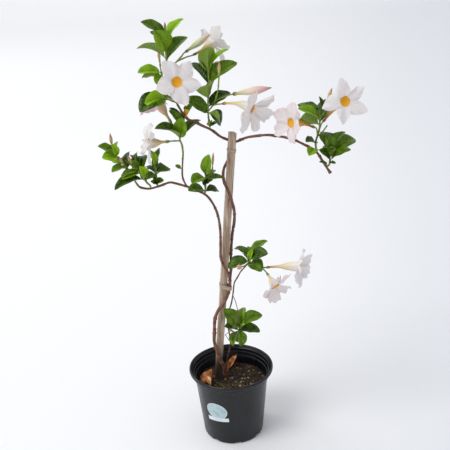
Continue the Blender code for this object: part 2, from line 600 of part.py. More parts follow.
def turned(profile):
    """A solid of revolution about Z from its profile of (radius, height), as a bmesh."""
    bm = bmesh.new()
    verts = [bm.verts.new((radius, 0, height)) for radius, height in profile]
    edges = [bm.edges.new(pair) for pair in zip(verts, verts[1:])]
    bmesh.ops.spin(bm, geom=verts + edges, cent=(0, 0, 0), axis=(0, 0, 1), angle=math.tau, steps=POT_SIDES,
                   use_duplicate=False)
    bmesh.ops.remove_doubles(bm, verts=bm.verts[:], dist=0.01 * MM)
    return bm


def build_pot():
    """The pot, its lip, collar and drain notches."""
    thick = POT_THICKNESS
    wall_top_radius, wall_top = POT_WALL_TOP
    first, second = wall_top_radius + COLLAR_STEP, wall_top_radius + 2 * COLLAR_STEP
    ring = wall_top + COLLAR_RING
    lip_low = wall_top + 2 * COLLAR_RING
    outside = [(0, 0), (POT_FOOT_RADIUS, 0), (POT_FOOT_RADIUS + FOOT_ROUND[0], FOOT_ROUND[1]),
               POT_WALL_FOOT, POT_WALL_TOP,
               (first, wall_top + COLLAR_SLOPE), (first + COLLAR_DRAFT, ring),
               (second, ring + COLLAR_SLOPE), (second + COLLAR_DRAFT, lip_low),
               (POT_LIP_RADIUS - COLLAR_SLOPE, lip_low + COLLAR_DRAFT),
               (POT_LIP_RADIUS, lip_low + LIP_ROUND),
               (POT_LIP_RADIUS - 1 * MM, POT_HEIGHT)]
    inside = [(POT_LIP_RADIUS - 1 * MM - LIP_WIDTH, POT_HEIGHT),
              (second - thick + COLLAR_DRAFT, lip_low + 1 * MM),
              (second - thick, ring + COLLAR_SLOPE + thick),
              (first - thick + COLLAR_DRAFT, ring + thick),
              (first - thick, wall_top + COLLAR_SLOPE + thick),
              (wall_top_radius - thick, wall_top + thick), (wall_radius(INSIDE_FOOT) - thick, INSIDE_FOOT),
              (POT_FOOT_RADIUS - thick, POT_FLOOR), (0, POT_FLOOR)]
    pot = new_object("pot", closed_mesh("pot", turned(outside + inside)), POT_BLACK)
    for index in range(DRAIN_COUNT):
        turn = math.radians(DRAIN_START + 360 * index / DRAIN_COUNT)
        bm = bmesh.new()
        size = Matrix.Diagonal((DRAIN_DEPTH, DRAIN_WIDTH, 2 * DRAIN_HEIGHT, 1))
        bmesh.ops.create_cube(bm, size=1, matrix=size)
        notch = new_object("cut_drain_%d" % (index + 1), closed_mesh("drain", bm), POT_BLACK)
        notch.location = (POT_FOOT_RADIUS + POT_THICKNESS) * Vector((math.cos(turn), math.sin(turn), 0))
        notch.rotation_euler = (0, 0, turn)
        cut_by(pot, notch)


def cut_by(solid, cutter):
    """Take a cutter's space out of a solid."""
    cutter.hide_render = True
    cutter.display_type = "WIRE"
    cut = solid.modifiers.new("cut", "BOOLEAN")
    cut.operation = "DIFFERENCE"
    cut.solver = "EXACT"
    cut.object = cutter


def soil_height(x, y):
    """Height of the bumpy soil at a place."""
    return SOIL_TOP + SOIL_BUMP * noise.noise(Vector((x, y, 0)) / SOIL_BUMP_SIZE)


def build_soil():
    """The root ball: it fills the pot to its bumpy top, with plain holes for the stake and the stems."""
    reach = wall_radius(SOIL_TOP) - POT_THICKNESS - GAP
    profile = [(0, POT_FLOOR + GAP), (POT_FOOT_RADIUS - POT_THICKNESS - 2 * GAP, POT_FLOOR + GAP),
               (wall_radius(INSIDE_FOOT) - POT_THICKNESS - GAP, INSIDE_FOOT), (reach, SOIL_TOP)]
    profile += [(reach * share, SOIL_TOP) for share in SOIL_RINGS] + [(0, SOIL_TOP)]
    bm = turned(profile)
    for vert in bm.verts:
        if vert.co.z > SOIL_TOP - GAP and vert.co.xy.length < reach * 0.99:
            vert.co.z = soil_height(vert.co.x, vert.co.y)
    soil = new_object("soil", closed_mesh("soil", bm), SOIL_BROWN)
    hole = stake_solid("cut_stake_hole", GAP)
    cut_by(soil, hole)
    for name, stem, radius in (("cut_trunk_hole", TRUNK, WOODY_STEMS[0][1]),
                               ("cut_low_stem_hole", LOW_STEM, LOW_STEM_RADII[0])):
        route = smooth_route(stem)[:HOLE_RINGS]
        route[0] = route[0] + (route[0] - route[1]).normalized() * GAP
        hole = new_object(name, tube(route, radius * MM + GAP, radius * MM + GAP, sides=8), SOIL_BROWN)
        cut_by(soil, hole)


def stake_axis():
    """The stake's foot, its top and the unit vector between them."""
    foot, top = at(STAKE_FOOT), at(STAKE_TOP)
    return foot, top, (top - foot).normalized()


def stake_solid(name, extra=0.0):
    """The square stake, or the wider hole that it stands in."""
    foot, top, way = stake_axis()
    length = (top - foot).length + 2 * extra
    width = STAKE_WIDTH + 2 * extra
    bm = bmesh.new()
    bmesh.ops.create_cube(bm, size=1, matrix=Matrix.Diagonal((width, width, length, 1)))
    if not extra:
        upright = [edge for edge in bm.edges if abs(edge.verts[0].co.z - edge.verts[1].co.z) > width]
        bmesh.ops.bevel(bm, geom=upright, offset=STAKE_EDGE, segments=1, affect="EDGES")
    made = new_object(name, closed_mesh(name, bm), STAKE_WOOD)
    turn = Vector((0, 0, 1)).rotation_difference(way).to_matrix().to_4x4()
    made.matrix_world = (Matrix.Translation((foot + top) / 2) @ turn
                         @ Matrix.Rotation(math.radians(STAKE_TURN), 4, "Z"))
    return made


def tie(name, middle, height, stem):
    """A flat band drawn tight round the stake and a stem's route beside it, all 0.3 mm clear.

    middle is the height of the band's middle above the table, and height is its own, in millimetres.
    """
    foot, top, way = stake_axis()
    centre = foot + way * ((middle * MM - foot.z) / way.z)
    lean = Vector((0, 0, 1)).rotation_difference(way)
    right, back = lean @ Vector((1, 0, 0)), lean @ Vector((0, 1, 0))
    side, inner = STAKE_WIDTH / 2, STAKE_WIDTH / 2 - STAKE_EDGE
    turn = Matrix.Rotation(math.radians(STAKE_TURN), 2)
    round_places = []
    for across, along in ((-1, -1), (-1, 1), (1, -1), (1, 1)):
        for corner in ((across * side, along * inner), (across * inner, along * side)):
            round_places.append((*(turn @ Vector(corner)), GAP))
    for place in smooth_route(stem, TIED_STEP):
        offset = place - centre
        if abs(offset.dot(way)) < height * MM / 2 + TIED_STEP:
            round_places.append((offset.dot(right), offset.dot(back), TIED_STEM + GAP))

    def outline(extra):
        places = []
        for side in range(TIE_SIDES):
            corners = []
            for turn in (math.tau * side / TIE_SIDES, math.tau * (side + 1) / TIE_SIDES):
                normal = Vector((math.cos(turn), math.sin(turn)))
                furthest = max(x * normal.x + y * normal.y + r for x, y, r in round_places)
                corners.append((normal, furthest + extra))
            (n1, h1), (n2, h2) = corners
            spread = n1.x * n2.y - n1.y * n2.x
            places.append(((h1 * n2.y - h2 * n1.y) / spread, (h2 * n1.x - h1 * n2.x) / spread))
        return places

    bm = bmesh.new()
    rings = []
    for level, extra in ((-0.5, 0), (-0.5, TIE_THICKNESS), (0.5, TIE_THICKNESS), (0.5, 0)):
        base = centre + way * height * MM * level
        rings.append([bm.verts.new(base + x * right + y * back) for x, y in outline(extra)])
    for near, far in zip(rings, rings[1:] + rings[:1]):
        for k in range(TIE_SIDES):
            bm.faces.new((near[k], near[(k + 1) % TIE_SIDES], far[(k + 1) % TIE_SIDES], far[k]))
    return new_object(name, closed_mesh(name, bm), TIE_BEIGE)


def build_label():
    """A plain sticker on the pot's wall: an oval over a strip, bent round the cone 0.3 mm off it."""
    wide, tall = LABEL_OVAL
    half_strip, strip_height = LABEL_STRIP[0] / 2, LABEL_STRIP[1]
    strip_top = -LABEL_STRIP_DROP + strip_height
    outline = []
    start = math.asin(strip_top / tall)
    for step in range(LABEL_ARC + 1):
        turn = start + (math.pi - 2 * start) * step / LABEL_ARC
        outline.append((wide * math.cos(turn), tall * math.sin(turn)))
    outline += [(-half_strip, strip_top), (-half_strip, -LABEL_STRIP_DROP),
                (half_strip, -LABEL_STRIP_DROP), (half_strip, strip_top)]
    bm = bmesh.new()
    face = bm.faces.new([bm.verts.new((x, y, 0)) for x, y in outline])
    sheet = bmesh.ops.extrude_face_region(bm, geom=[face])
    lifted = [item for item in sheet["geom"] if isinstance(item, bmesh.types.BMVert)]
    bmesh.ops.translate(bm, verts=lifted, vec=(0, 0, LABEL_THICKNESS))
    for step in range(-3, 4):
        bmesh.ops.bisect_plane(bm, geom=bm.verts[:] + bm.edges[:] + bm.faces[:], dist=0.001 * MM,
                               plane_co=(step * LABEL_BEND, 0, 0), plane_no=(1, 0, 0))
    bmesh.ops.triangulate(bm, faces=bm.faces[:])
    tilt = Matrix.Rotation(math.radians(LABEL_TILT), 3, "Z")
    for vert in bm.verts:
        flat = tilt @ vert.co
        height = LABEL_HEIGHT + flat.y
        turn = math.radians(LABEL_ANGLE) + flat.x / wall_radius(LABEL_HEIGHT)
        radius = wall_radius(height) + GAP + vert.co.z
        vert.co = (radius * math.cos(turn), radius * math.sin(turn), height)
    new_object("label", closed_mesh("label", bm), LABEL_BLUE)


def build_woody_stems():
    """The trunk and its branches, which wind up the stake and arch out at its top, in one solid."""
    meshes = [tube(smooth_route(route), start * MM, end * MM, sides)
              for route, start, end, sides in WOODY_STEMS]
    fuse("woody_stems", meshes, BARK, (-12, 7, 108))


def build_low_stem():
    """The thin stem behind the stake, with the dry tendril that hangs from it."""
    meshes = [tube(smooth_route(LOW_STEM), LOW_STEM_RADII[0] * MM, LOW_STEM_RADII[1] * MM),
              tube(smooth_route(TENDRIL), TENDRIL_RADII[0] * MM, TENDRIL_RADII[1] * MM, sides=4)]
    fuse("low_stem", meshes, BARK, (-8, 48, 110))


def build_lone_leaves():
    """Single leaves that stand on the woody stems by themselves."""
    for name, (foot, stem_radius, heading, lift, length, width) in LONE_LEAVES.items():
        base = at(foot) + aim(heading, lift) * (stem_radius * MM + 2 * GAP)
        mesh = leaf(base, heading, lift, length * MM, width * MM, Vector((0, -0.6, 0.8)))
        new_object(name, mesh, WITHERED if "yellow" in name else LEAF_GREEN, foot)


def build_dry_leaves():
    """The fallen leaves on the soil: a crumpled one by the stake and a rolled one behind it."""
    for name, (base, heading, lift, length, width, face, fold, arch) in DRY_LEAVES.items():
        mesh = leaf(at(base), heading, lift, length * MM, width * MM, Vector(face), 0, fold, arch)
        new_object(name, mesh, DRY_LEAF, base)


for old in list(bpy.data.objects):
    bpy.data.objects.remove(old)

PLANT = bpy.data.objects.new("potted_dipladenia", None)
bpy.context.scene.collection.objects.link(PLANT)

POT_BLACK = principled("pot plastic", (0.018, 0.019, 0.022), 0.45)
SOIL_BROWN = principled("potting soil", (0.045, 0.028, 0.016), 0.95)
STAKE_WOOD = principled("weathered wood", (0.23, 0.17, 0.12), 0.8)
TIE_BEIGE = principled("twine", (0.42, 0.31, 0.20), 0.85)
LABEL_BLUE = principled("label paper", (0.52, 0.68, 0.72), 0.5)
BARK = principled("bark", (0.13, 0.045, 0.03), 0.65)
LEAF_GREEN = principled("leaf", (0.045, 0.17, 0.018), 0.4)
PETAL_WHITE = principled("white petal", (0.86, 0.84, 0.86), 0.5)
PETAL_PINK = principled("pink petal", (0.86, 0.74, 0.76), 0.5)
BUD_CREAM = principled("bud", (0.72, 0.50, 0.40), 0.5)
DRY_LEAF = principled("dry leaf", (0.45, 0.17, 0.04), 0.7)
WITHERED = principled("withered leaf", (0.75, 0.48, 0.03), 0.5)

build_pot()
build_soil()
stake_solid("stake")
tie("tie_lower", 315, 9, TRUNK[-3:])
tie("tie_upper", 578, 8, TWINER[-3:])
build_label()
build_woody_stems()
build_low_stem()
for shoot_name, shoot_plan in SHOOTS.items():
    shoot(shoot_name, shoot_plan)
build_lone_leaves()
build_dry_leaves()
for bloom_name, (bloom_base, bloom_mouth, bloom_look, _, bloom_petals) in BLOOMS.items():
    bloom(bloom_name, bloom_base, bloom_mouth, bloom_look, bloom_petals)
for bud_name, bud_plan in BUDS.items():
    bud(bud_name, *bud_plan)
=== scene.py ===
"""The looks of a potted dipladenia tied to a square stake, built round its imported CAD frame.

Metres, +Z up, and -Y is the front. The plant's own routes, leaves, blooms and buds are listed in
millimetres, as the frame's source lists them, and are turned to metres where they are read.
"""
import logging
import math
import random
from collections.abc import Callable, Sequence
from dataclasses import dataclass, field
from enum import Enum

import bpy
import numpy as np
from mathutils import Matrix, Vector, noise

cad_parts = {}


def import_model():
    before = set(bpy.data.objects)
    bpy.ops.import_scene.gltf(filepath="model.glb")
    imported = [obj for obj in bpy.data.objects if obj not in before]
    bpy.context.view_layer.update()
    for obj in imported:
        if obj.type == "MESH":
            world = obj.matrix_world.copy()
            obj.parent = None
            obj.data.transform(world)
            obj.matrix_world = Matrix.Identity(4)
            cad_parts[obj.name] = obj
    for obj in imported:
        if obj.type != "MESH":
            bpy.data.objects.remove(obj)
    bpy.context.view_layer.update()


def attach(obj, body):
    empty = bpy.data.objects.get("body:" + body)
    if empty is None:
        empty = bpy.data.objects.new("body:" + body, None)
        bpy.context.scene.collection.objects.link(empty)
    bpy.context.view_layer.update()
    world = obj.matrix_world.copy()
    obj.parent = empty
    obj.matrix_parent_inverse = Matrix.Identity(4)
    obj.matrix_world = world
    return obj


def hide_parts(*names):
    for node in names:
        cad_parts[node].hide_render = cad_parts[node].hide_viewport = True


LOG = logging.getLogger("dipladenia")
MM = 0.001
WELD = 0.001 * MM              # points closer than this are one
PLANT_SEED = 41
CURL_SEED = 5

Span = tuple[float, float]
Place = tuple[float, float, float]
Route = Sequence[Place]
Array = np.ndarray
Material = bpy.types.Material
Mesh = bpy.types.Mesh
Piece = bpy.types.Object
Socket = bpy.types.NodeSocket
Value = Socket | float | str | tuple


class Slot(Enum):
    """The material slots."""

    POT = "pot_plastic"
    SOIL = "potting_soil"
    STAKE = "weathered_wood"
    TIE = "tie_band"
    LABEL = "label_paper"
    BARK = "bark"
    LEAF = "leaf"
    WHITE_PETAL = "white_petal"
    PINK_PETAL = "pink_petal"
    BUD = "bud"
    WITHERED = "withered_leaf"
    DRY = "dry_leaf"


# Modelling


def link(name: str, data: bpy.types.ID) -> Piece:
    """Put a new object in the scene.

    Args:
        name: its name.
        data: its mesh, lamp or camera.

    Returns:
        The object.
    """
    piece = bpy.data.objects.new(name, data)
    bpy.context.scene.collection.objects.link(piece)
    return piece


def only(*pieces: Piece) -> None:
    """Select these pieces alone, and make the first one active.

    Args:
        pieces: the pieces; with none, nothing stays selected.
    """
    bpy.ops.object.select_all(action="DESELECT")
    for piece in pieces:
        piece.select_set(True)
        bpy.context.view_layer.objects.active = pieces[0]


def grid(name: str, across: int, along: int) -> Piece:
    """Add a flat grid over the unit square, where x and y are also its UV map.

    Args:
        name: the piece's name.
        across: faces along x.
        along: faces along y.

    Returns:
        The grid, with its place in its mesh.
    """
    only()
    bpy.ops.mesh.primitive_grid_add(x_subdivisions=across, y_subdivisions=along, size=1,
                                    location=(0.5, 0.5, 0))
    made = bpy.context.object
    made.name = made.data.name = name
    bpy.ops.object.transform_apply(location=True, rotation=False, scale=False)
    return made


def points_of(mesh: Mesh) -> Array:
    """Read the places of a mesh's points.

    Args:
        mesh: the mesh.

    Returns:
        An array of three columns, with a row for each point.
    """
    places = np.empty(len(mesh.vertices) * 3)
    mesh.vertices.foreach_get("co", places)
    return places.reshape(-1, 3)


def set_points(mesh: Mesh, places: Array) -> None:
    """Move a mesh's points to new places."""
    mesh.vertices.foreach_set("co", places.astype(np.float32).ravel())
    mesh.update()


def mark(mesh: Mesh, name: str, values: Array) -> None:
    """Keep a value, or a linear colour, of each point as an attribute that a material reads.

    Args:
        mesh: the mesh.
        name: the attribute's name.
        values: one number for each point, or one row of red, green and blue.
    """
    if values.ndim == 1:
        layer = mesh.attributes.new(name, "FLOAT", "POINT")
        layer.data.foreach_set("value", values.astype(np.float32))
    else:
        layer = mesh.attributes.new(name, "FLOAT_COLOR", "POINT")
        full = np.ones((len(values), 4), np.float32)
        full[:, :3] = values
        layer.data.foreach_set("color", full.ravel())


def weld(piece: Piece) -> None:
    """Merge a piece's doubled points and turn its faces outwards.

    Args:
        piece: the piece.
    """
    only(piece)
    bpy.ops.object.mode_set(mode="EDIT")
    bpy.ops.mesh.select_all(action="SELECT")
    bpy.ops.mesh.remove_doubles(threshold=WELD)
    bpy.ops.mesh.normals_make_consistent(inside=False)
    bpy.ops.object.mode_set(mode="OBJECT")


def smooth(piece: Piece, sharp_from: float = 50) -> None:
    """Shade a piece smooth, with sharp edges from an angle in degrees."""
    only(piece)
    bpy.ops.object.shade_smooth_by_angle(angle=math.radians(sharp_from))


def apply(piece: Piece, kind: str, **settings: object) -> None:
    """Add a modifier to a piece and apply it.

    Args:
        piece: the piece.
        kind: the modifier's type.
        settings: its properties.
    """
    only(piece)
    bpy.ops.object.modifier_add(type=kind)
    modifier = piece.modifiers[-1]
    for name, value in settings.items():
        setattr(modifier, name, value)
    bpy.ops.object.modifier_apply(modifier=modifier.name)


def join(name: str, pieces: Sequence[Piece]) -> Piece:
    """Join pieces into one.

    Args:
        name: the joined piece's name.
        pieces: the pieces.

    Returns:
        The joined piece.
    """
    only(*pieces)
    if len(pieces) > 1:
        bpy.ops.object.join()
    whole = bpy.context.view_layer.objects.active
    whole.name = whole.data.name = name
    return whole


def loft(name: str, rings: Array, material: Material, closed: bool = False, **marks: Array) -> Piece:
    """Make a closed skin through rings of points.

    Args:
        name: the piece's name.
        rings: places by ring, side and coordinate.
        material: the skin's finish.
        closed: whether the last ring meets the first. If not, a point closes each end.
        marks: for each attribute, its value on each ring.

    Returns:
        The skin.
    """
    count, sides = rings.shape[:2]
    ends = [np.broadcast_to(rings[end].mean(0), (1, sides, 3)) for end in (0, -1)]
    full = np.concatenate([rings, rings[:1]] if closed else [ends[0], rings, ends[1]])
    rows = len(full) - 1
    skin = grid(name, sides, rows)
    flat = points_of(skin.data)
    side = np.rint(flat[:, 0] * sides).astype(int) % sides
    row = np.rint(flat[:, 1] * rows).astype(int)
    set_points(skin.data, full[row, side])
    for key, values in marks.items():
        mark(skin.data, key, values[np.clip(row - 1, 0, count - 1)])
    weld(skin)
    skin.data.materials.append(material)
    smooth(skin, 60)
    return skin


def through(points: Route, step: float) -> Array:
    """Find places along a smooth curve through the given ones.

    Args:
        points: places in millimetres.
        step: the distance between the new places, about, in metres.

    Returns:
        The new places, in metres, one to a row.
    """
    knots = np.array(points, float) * MM
    knots = np.vstack([2 * knots[0] - knots[1], knots, 2 * knots[-1] - knots[-2]])
    route = []
    for before, start, end, after in zip(knots, knots[1:], knots[2:], knots[3:]):
        pieces = max(1, round(float(np.linalg.norm(end - start)) / step))
        for piece in range(pieces):
            t = piece / pieces
            route.append(0.5 * (2 * start + (end - before) * t
                                + (2 * before - 5 * start + 4 * end - after) * t * t
                                + (3 * start - 3 * end + after - before) * t ** 3))
    return np.array(route + [knots[-2]])


def run_of(route: Array) -> Array:
    """How far along a route each of its places is."""
    return np.concatenate([[0], np.cumsum(np.linalg.norm(np.diff(route, axis=0), axis=1))])


def across_route(route: Array) -> tuple[Array, Array]:
    """Find two unit vectors across a route at each of its places, that don't twist along it.

    Args:
        route: the places.

    Returns:
        The first vectors and the second ones, one to a row.
    """
    ways = np.gradient(route, axis=0)
    ways /= np.linalg.norm(ways, axis=1)[:, None]
    side = np.cross(ways[0], (0.3, 1.0, 0.2))
    sides = []
    for way in ways:
        side = side - way * side.dot(way)
        side /= np.linalg.norm(side)
        sides.append(side)
    first = np.array(sides)
    return first, np.cross(ways, first)


def across_way(way: Array) -> tuple[Array, Array]:
    """Two unit vectors across a direction and across each other."""
    side = unit(np.cross(way, (0.2, 0.9, 0.4)))
    return side, np.cross(way, side)


def round_angles(count: int) -> Array:
    """Angles of this many points round a circle."""
    return np.arange(count) * math.tau / count


def rough(places: Array, size: float, seed: float = 0.0) -> Array:
    """Find smooth noise from -1 to 1 at each place.

    Args:
        places: places in metres, with the coordinate last.
        size: the size of its lumps in metres.
        seed: a shift that gives another pattern.

    Returns:
        The noise, without the coordinate axis.
    """
    flat = places.reshape(-1, 3) / size + seed
    return np.array([noise.noise(Vector(p)) for p in flat]).reshape(places.shape[:-1])


def stem_rings(route: Array, radii: Array, sides: int, bumps: float = 0.0) -> Array:
    """Place rings of points round a route.

    Args:
        route: the places of the stem's middle.
        radii: its radius at each of them.
        sides: points in a ring.
        bumps: how uneven the radius is, as a share of it.

    Returns:
        Places by ring, side and coordinate.
    """
    turn = round_angles(sides)
    first, second = across_route(route)
    outward = np.cos(turn)[None, :, None] * first[:, None] + np.sin(turn)[None, :, None] * second[:, None]
    rings = route[:, None] + outward * radii[:, None, None]
    if bumps:
        lumps = 1 + bumps * rough(rings, 4 * MM)
        rings = route[:, None] + outward * (radii[:, None] * lumps)[:, :, None]
    return rings


def unit(vector: Sequence[float]) -> Array:
    """A vector's direction, with length one."""
    long = np.array(vector, float)
    return long / np.linalg.norm(long)


def aim(heading: float, lift: float) -> Array:
    """The direction of a heading round +Z and a lift above the level, both in degrees."""
    turn, rise = math.radians(heading), math.radians(lift)
    return np.array((math.cos(rise) * math.cos(turn), math.cos(rise) * math.sin(turn), math.sin(rise)))


def stand_for(piece: Piece, slot: Slot, *nodes: str) -> None:
    """Let a finished piece ride on the plant and stand for its CAD nodes.

    Args:
        piece: the finished piece.
        slot: the material slot; not used.
        nodes: the CAD nodes that it replaces.
    """
    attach(piece, "root")
    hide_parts(*nodes)
    LOG.info("%s: %d faces, for %s", piece.name, len(piece.data.polygons), ", ".join(nodes))


# Colours and nodes


def linear(colour: str) -> tuple[float, float, float, float]:
    """Turn an sRGB hex colour to linear light.

    Args:
        colour: a hex colour such as "#36373b".

    Returns:
        Its red, green and blue in linear light, and full alpha.
    """
    parts = [int(colour[start:start + 2], 16) / 255 for start in (1, 3, 5)]
    light = [part / 12.92 if part <= 0.04045 else ((part + 0.055) / 1.055) ** 2.4 for part in parts]
    return light[0], light[1], light[2], 1.0


def blend_stops(shares: Array, stops: Sequence[tuple[float, str]]) -> Array:
    """Find linear colours at shares of a length, between colour stops.

    Args:
        shares: where, from 0 to 1.
        stops: shares and hex colours, in order.

    Returns:
        One row of red, green and blue for each share.
    """
    at = [share for share, _ in stops]
    colours = np.array([linear(colour)[:3] for _, colour in stops])
    return np.stack([np.interp(shares, at, colours[:, channel]) for channel in range(3)], axis=-1)


class Node(Enum):
    """Nodes that the finishes use: type, settings, the inputs fed in order, and the output read."""

    PLACE = ("ShaderNodeTexCoord", {}, (), "Object")
    CHART = ("ShaderNodeUVMap", {"uv_map": "UVMap"}, (), 0)
    X = ("ShaderNodeSeparateXYZ", {}, (0,), "X")
    Y = ("ShaderNodeSeparateXYZ", {}, (0,), "Y")
    Z = ("ShaderNodeSeparateXYZ", {}, (0,), "Z")
    KEPT = ("ShaderNodeAttribute", {}, (), "Fac")
    KEPT_COLOUR = ("ShaderNodeAttribute", {}, (), "Color")
    SCALE = ("ShaderNodeMapping", {}, ("Vector", "Scale"), 0)
    NOISE = ("ShaderNodeTexNoise", {}, ("Vector", "Scale", "Detail"), "Fac")
    STEP = ("ShaderNodeMapRange", {"interpolation_type": "SMOOTHSTEP"},
            ("Value", "From Min", "From Max", "To Min", "To Max"), 0)
    MIX = ("ShaderNodeMix", {"data_type": "RGBA", "clamp_factor": True}, (0, 6, 7), 2)
    SHADE = ("ShaderNodeMix", {"data_type": "RGBA", "blend_type": "MULTIPLY"}, (0, 6, 7), 2)
    GREY = ("ShaderNodeCombineColor", {}, (0, 1, 2), 0)
    BUMP = ("ShaderNodeBump", {}, ("Height", "Distance", "Strength"), "Normal")
    SUM = ("ShaderNodeMath", {"operation": "ADD"}, (0, 1), 0)
    LESS = ("ShaderNodeMath", {"operation": "SUBTRACT"}, (0, 1), 0)
    TIMES = ("ShaderNodeMath", {"operation": "MULTIPLY"}, (0, 1), 0)
    OVER = ("ShaderNodeMath", {"operation": "DIVIDE"}, (0, 1), 0)
    MOST = ("ShaderNodeMath", {"operation": "MAXIMUM"}, (0, 1), 0)
    SIZE = ("ShaderNodeMath", {"operation": "ABSOLUTE"}, (0,), 0)
    ZIGZAG = ("ShaderNodeMath", {"operation": "PINGPONG"}, (0, 1), 0)


# Finishes


@dataclass
class Finish:
    """What every finish shares: a name that says what it is, how rough it is, and ways to add nodes."""

    name: str
    roughness: float = 0.5
    tree: bpy.types.NodeTree = field(init=False)

    def make(self) -> Material:
        """Build the material.

        Returns:
            A new material with this finish's nodes.
        """
        material = bpy.data.materials.new(self.name)
        material.use_nodes = True
        self.tree = material.node_tree
        self.put("Roughness", self.roughness)
        self.dress()
        return material

    def dress(self) -> None:
        """Add the finish's own nodes, which each finish does in its own way."""
        raise NotImplementedError

    def feed(self, entry: Socket, value: Value) -> None:
        """Link an output to an input, or set a plain value there.

        Args:
            entry: the input.
            value: the output, a number, several numbers or a hex colour.
        """
        if isinstance(value, Socket):
            self.tree.links.new(value, entry)
        else:
            entry.default_value = linear(value) if isinstance(value, str) else value

    def add(self, node: Node, *inputs: Value, **settings: object) -> Socket:
        """Add a node with its settings and links.

        Args:
            node: which one.
            inputs: what each of its inputs is fed, in order; the rest keep their usual values.
            settings: more properties of the node, by name.

        Returns:
            Its output.
        """
        kind, usual, entries, out = node.value
        made = self.tree.nodes.new(kind)
        for name, value in (usual | settings).items():
            setattr(made, name, value)
        for entry, value in zip(entries, inputs):
            self.feed(made.inputs[entry], value)
        return made.outputs[out]

    def put(self, entry: str, value: Value) -> None:
        """Link or set one of the Principled shader's own sockets."""
        self.feed(self.tree.nodes["Principled BSDF"].inputs[entry], value)

    def light_through(self, weight: float, radius: Place, scale: float) -> None:
        """Let light through the surface.

        Args:
            weight: how much of it.
            radius: how far red, green and blue go, as shares of the scale.
            scale: the scale in millimetres.
        """
        self.put("Subsurface Weight", weight)
        self.put("Subsurface Radius", radius)
        self.put("Subsurface Scale", scale * MM)

    def lumps(self, size: float, detail: float = 3.0, stretch: Place = (1.0, 1.0, 1.0)) -> Socket:
        """Lay noise through the piece's own space.

        Args:
            size: the distance between its lumps in millimetres.
            detail: how many finer layers it has.
            stretch: how many times longer the lumps are along each axis.

        Returns:
            The noise, about 0.5 in its middle.
        """
        scale = tuple(1 / (size * MM) / longer for longer in stretch)
        place = self.add(Node.SCALE, self.add(Node.PLACE), scale)
        return self.add(Node.NOISE, place, 1.0, detail)


@dataclass
class BlackPolypropylene(Finish):
    """Injection-moulded black polypropylene: satin, and a little scuffed and paler in patches."""

    colour: str = "#090b10"
    worn: str = "#171a20"
    scuff_size: float = 26.0
    grain_size: float = 0.9

    def dress(self) -> None:
        """Add scuffs a few centimetres long, and the fine grain of the mould."""
        scuffs = self.lumps(self.scuff_size, 5, (1, 1, 2.5))
        worn = self.add(Node.STEP, scuffs, 0.46, 0.72)
        self.put("Base Color", self.add(Node.MIX, worn, self.colour, self.worn))
        shine = self.add(Node.STEP, scuffs, 0.3, 0.7, self.roughness - 0.08, self.roughness + 0.12)
        self.put("Roughness", shine)
        self.put("Specular IOR Level", 0.4)
        self.put("Normal", self.add(Node.BUMP, self.lumps(self.grain_size, 2), 0.05 * MM, 0.5))


@dataclass
class PottingPeat(Finish):
    """Peat with composted bark: crumbly, nearly black where it is damp and brown where it has dried."""

    damp: str = "#0b0703"
    dry: str = "#2f1e10"
    straw: str = "#806642"
    patch: float = 18
    crumb: float = 3.2
    speck: float = 1.3

    def dress(self) -> None:
        """Add crumbs of two sizes and a few straw-coloured specks."""
        crumbs = self.lumps(self.crumb, 6)
        dried = self.add(Node.STEP, self.add(Node.SUM, self.lumps(self.patch), crumbs), 0.82, 1.25)
        specks = self.add(Node.STEP, self.lumps(self.speck, 2), 0.68, 0.76)
        colour = self.add(Node.MIX, dried, self.damp, self.dry)
        self.put("Base Color", self.add(Node.MIX, specks, colour, self.straw))
        self.put("Normal", self.add(Node.BUMP, crumbs, 2.4 * MM))


@dataclass
class Litter(Finish):
    """Bits of bark, fibre, moss or grit: one colour in light and dark pieces, by the piece's tone."""

    dark: str = "#1d130b"
    light: str = "#4e3a25"
    fleck: float = 1.5

    def dress(self) -> None:
        """Mix the two colours by the tone attribute and by flecks."""
        flecks = self.lumps(self.fleck, 4)
        share = self.add(Node.STEP, flecks, 0.3, 0.7, -0.3, 0.3)
        share = self.add(Node.SUM, self.add(Node.KEPT, attribute_name="tone"), share)
        self.put("Base Color", self.add(Node.MIX, share, self.dark, self.light))
        self.put("Normal", self.add(Node.BUMP, flecks, 0.4 * MM))


@dataclass
class WeatheredPine(Finish):
    """A sawn pine stake gone grey outdoors: long grain, fine checks, and dark wet wood at its foot."""

    grey: str = "#d3bdab"
    brown: str = "#b3977f"
    dark: str = "#4a3a2e"
    wet: str = "#150e0a"
    grain: float = 1.6
    streak: float = 5
    stain: float = 22
    wet_below: float = 0.19
    wet_fade: float = 0.06

    def dress(self) -> None:
        """Add grain that runs the length of the stake, streaks, checks, stains and damp."""
        grain = self.lumps(self.grain, 4, (1, 1, 40))
        streaks = self.lumps(self.streak, 3, (1, 1, 14))
        checks = self.add(Node.TIMES, self.add(Node.STEP, grain, 0.56, 0.70), 0.75)
        stained = self.add(Node.STEP, self.lumps(self.stain, 4, (1, 1, 3)), 0.55, 0.75, 0.0, 0.5)
        level = self.add(Node.Z, self.add(Node.PLACE))
        level = self.add(Node.SUM, level, self.add(Node.TIMES, streaks, 0.10))
        damp = self.add(Node.STEP, level, self.wet_below, self.wet_below + self.wet_fade, 0.92, 0.0)
        colour = self.add(Node.MIX, self.add(Node.STEP, streaks, 0.38, 0.66), self.grey, self.brown)
        colour = self.add(Node.MIX, stained, self.add(Node.MIX, checks, colour, self.dark), self.dark)
        self.put("Base Color", self.add(Node.MIX, damp, colour, self.wet))
        self.put("Specular IOR Level", 0.2)
        relief = self.add(Node.SUM, self.add(Node.STEP, grain, 0.35, 0.75, 1.0, 0.0), streaks)
        self.put("Normal", self.add(Node.BUMP, relief, 0.9 * MM))


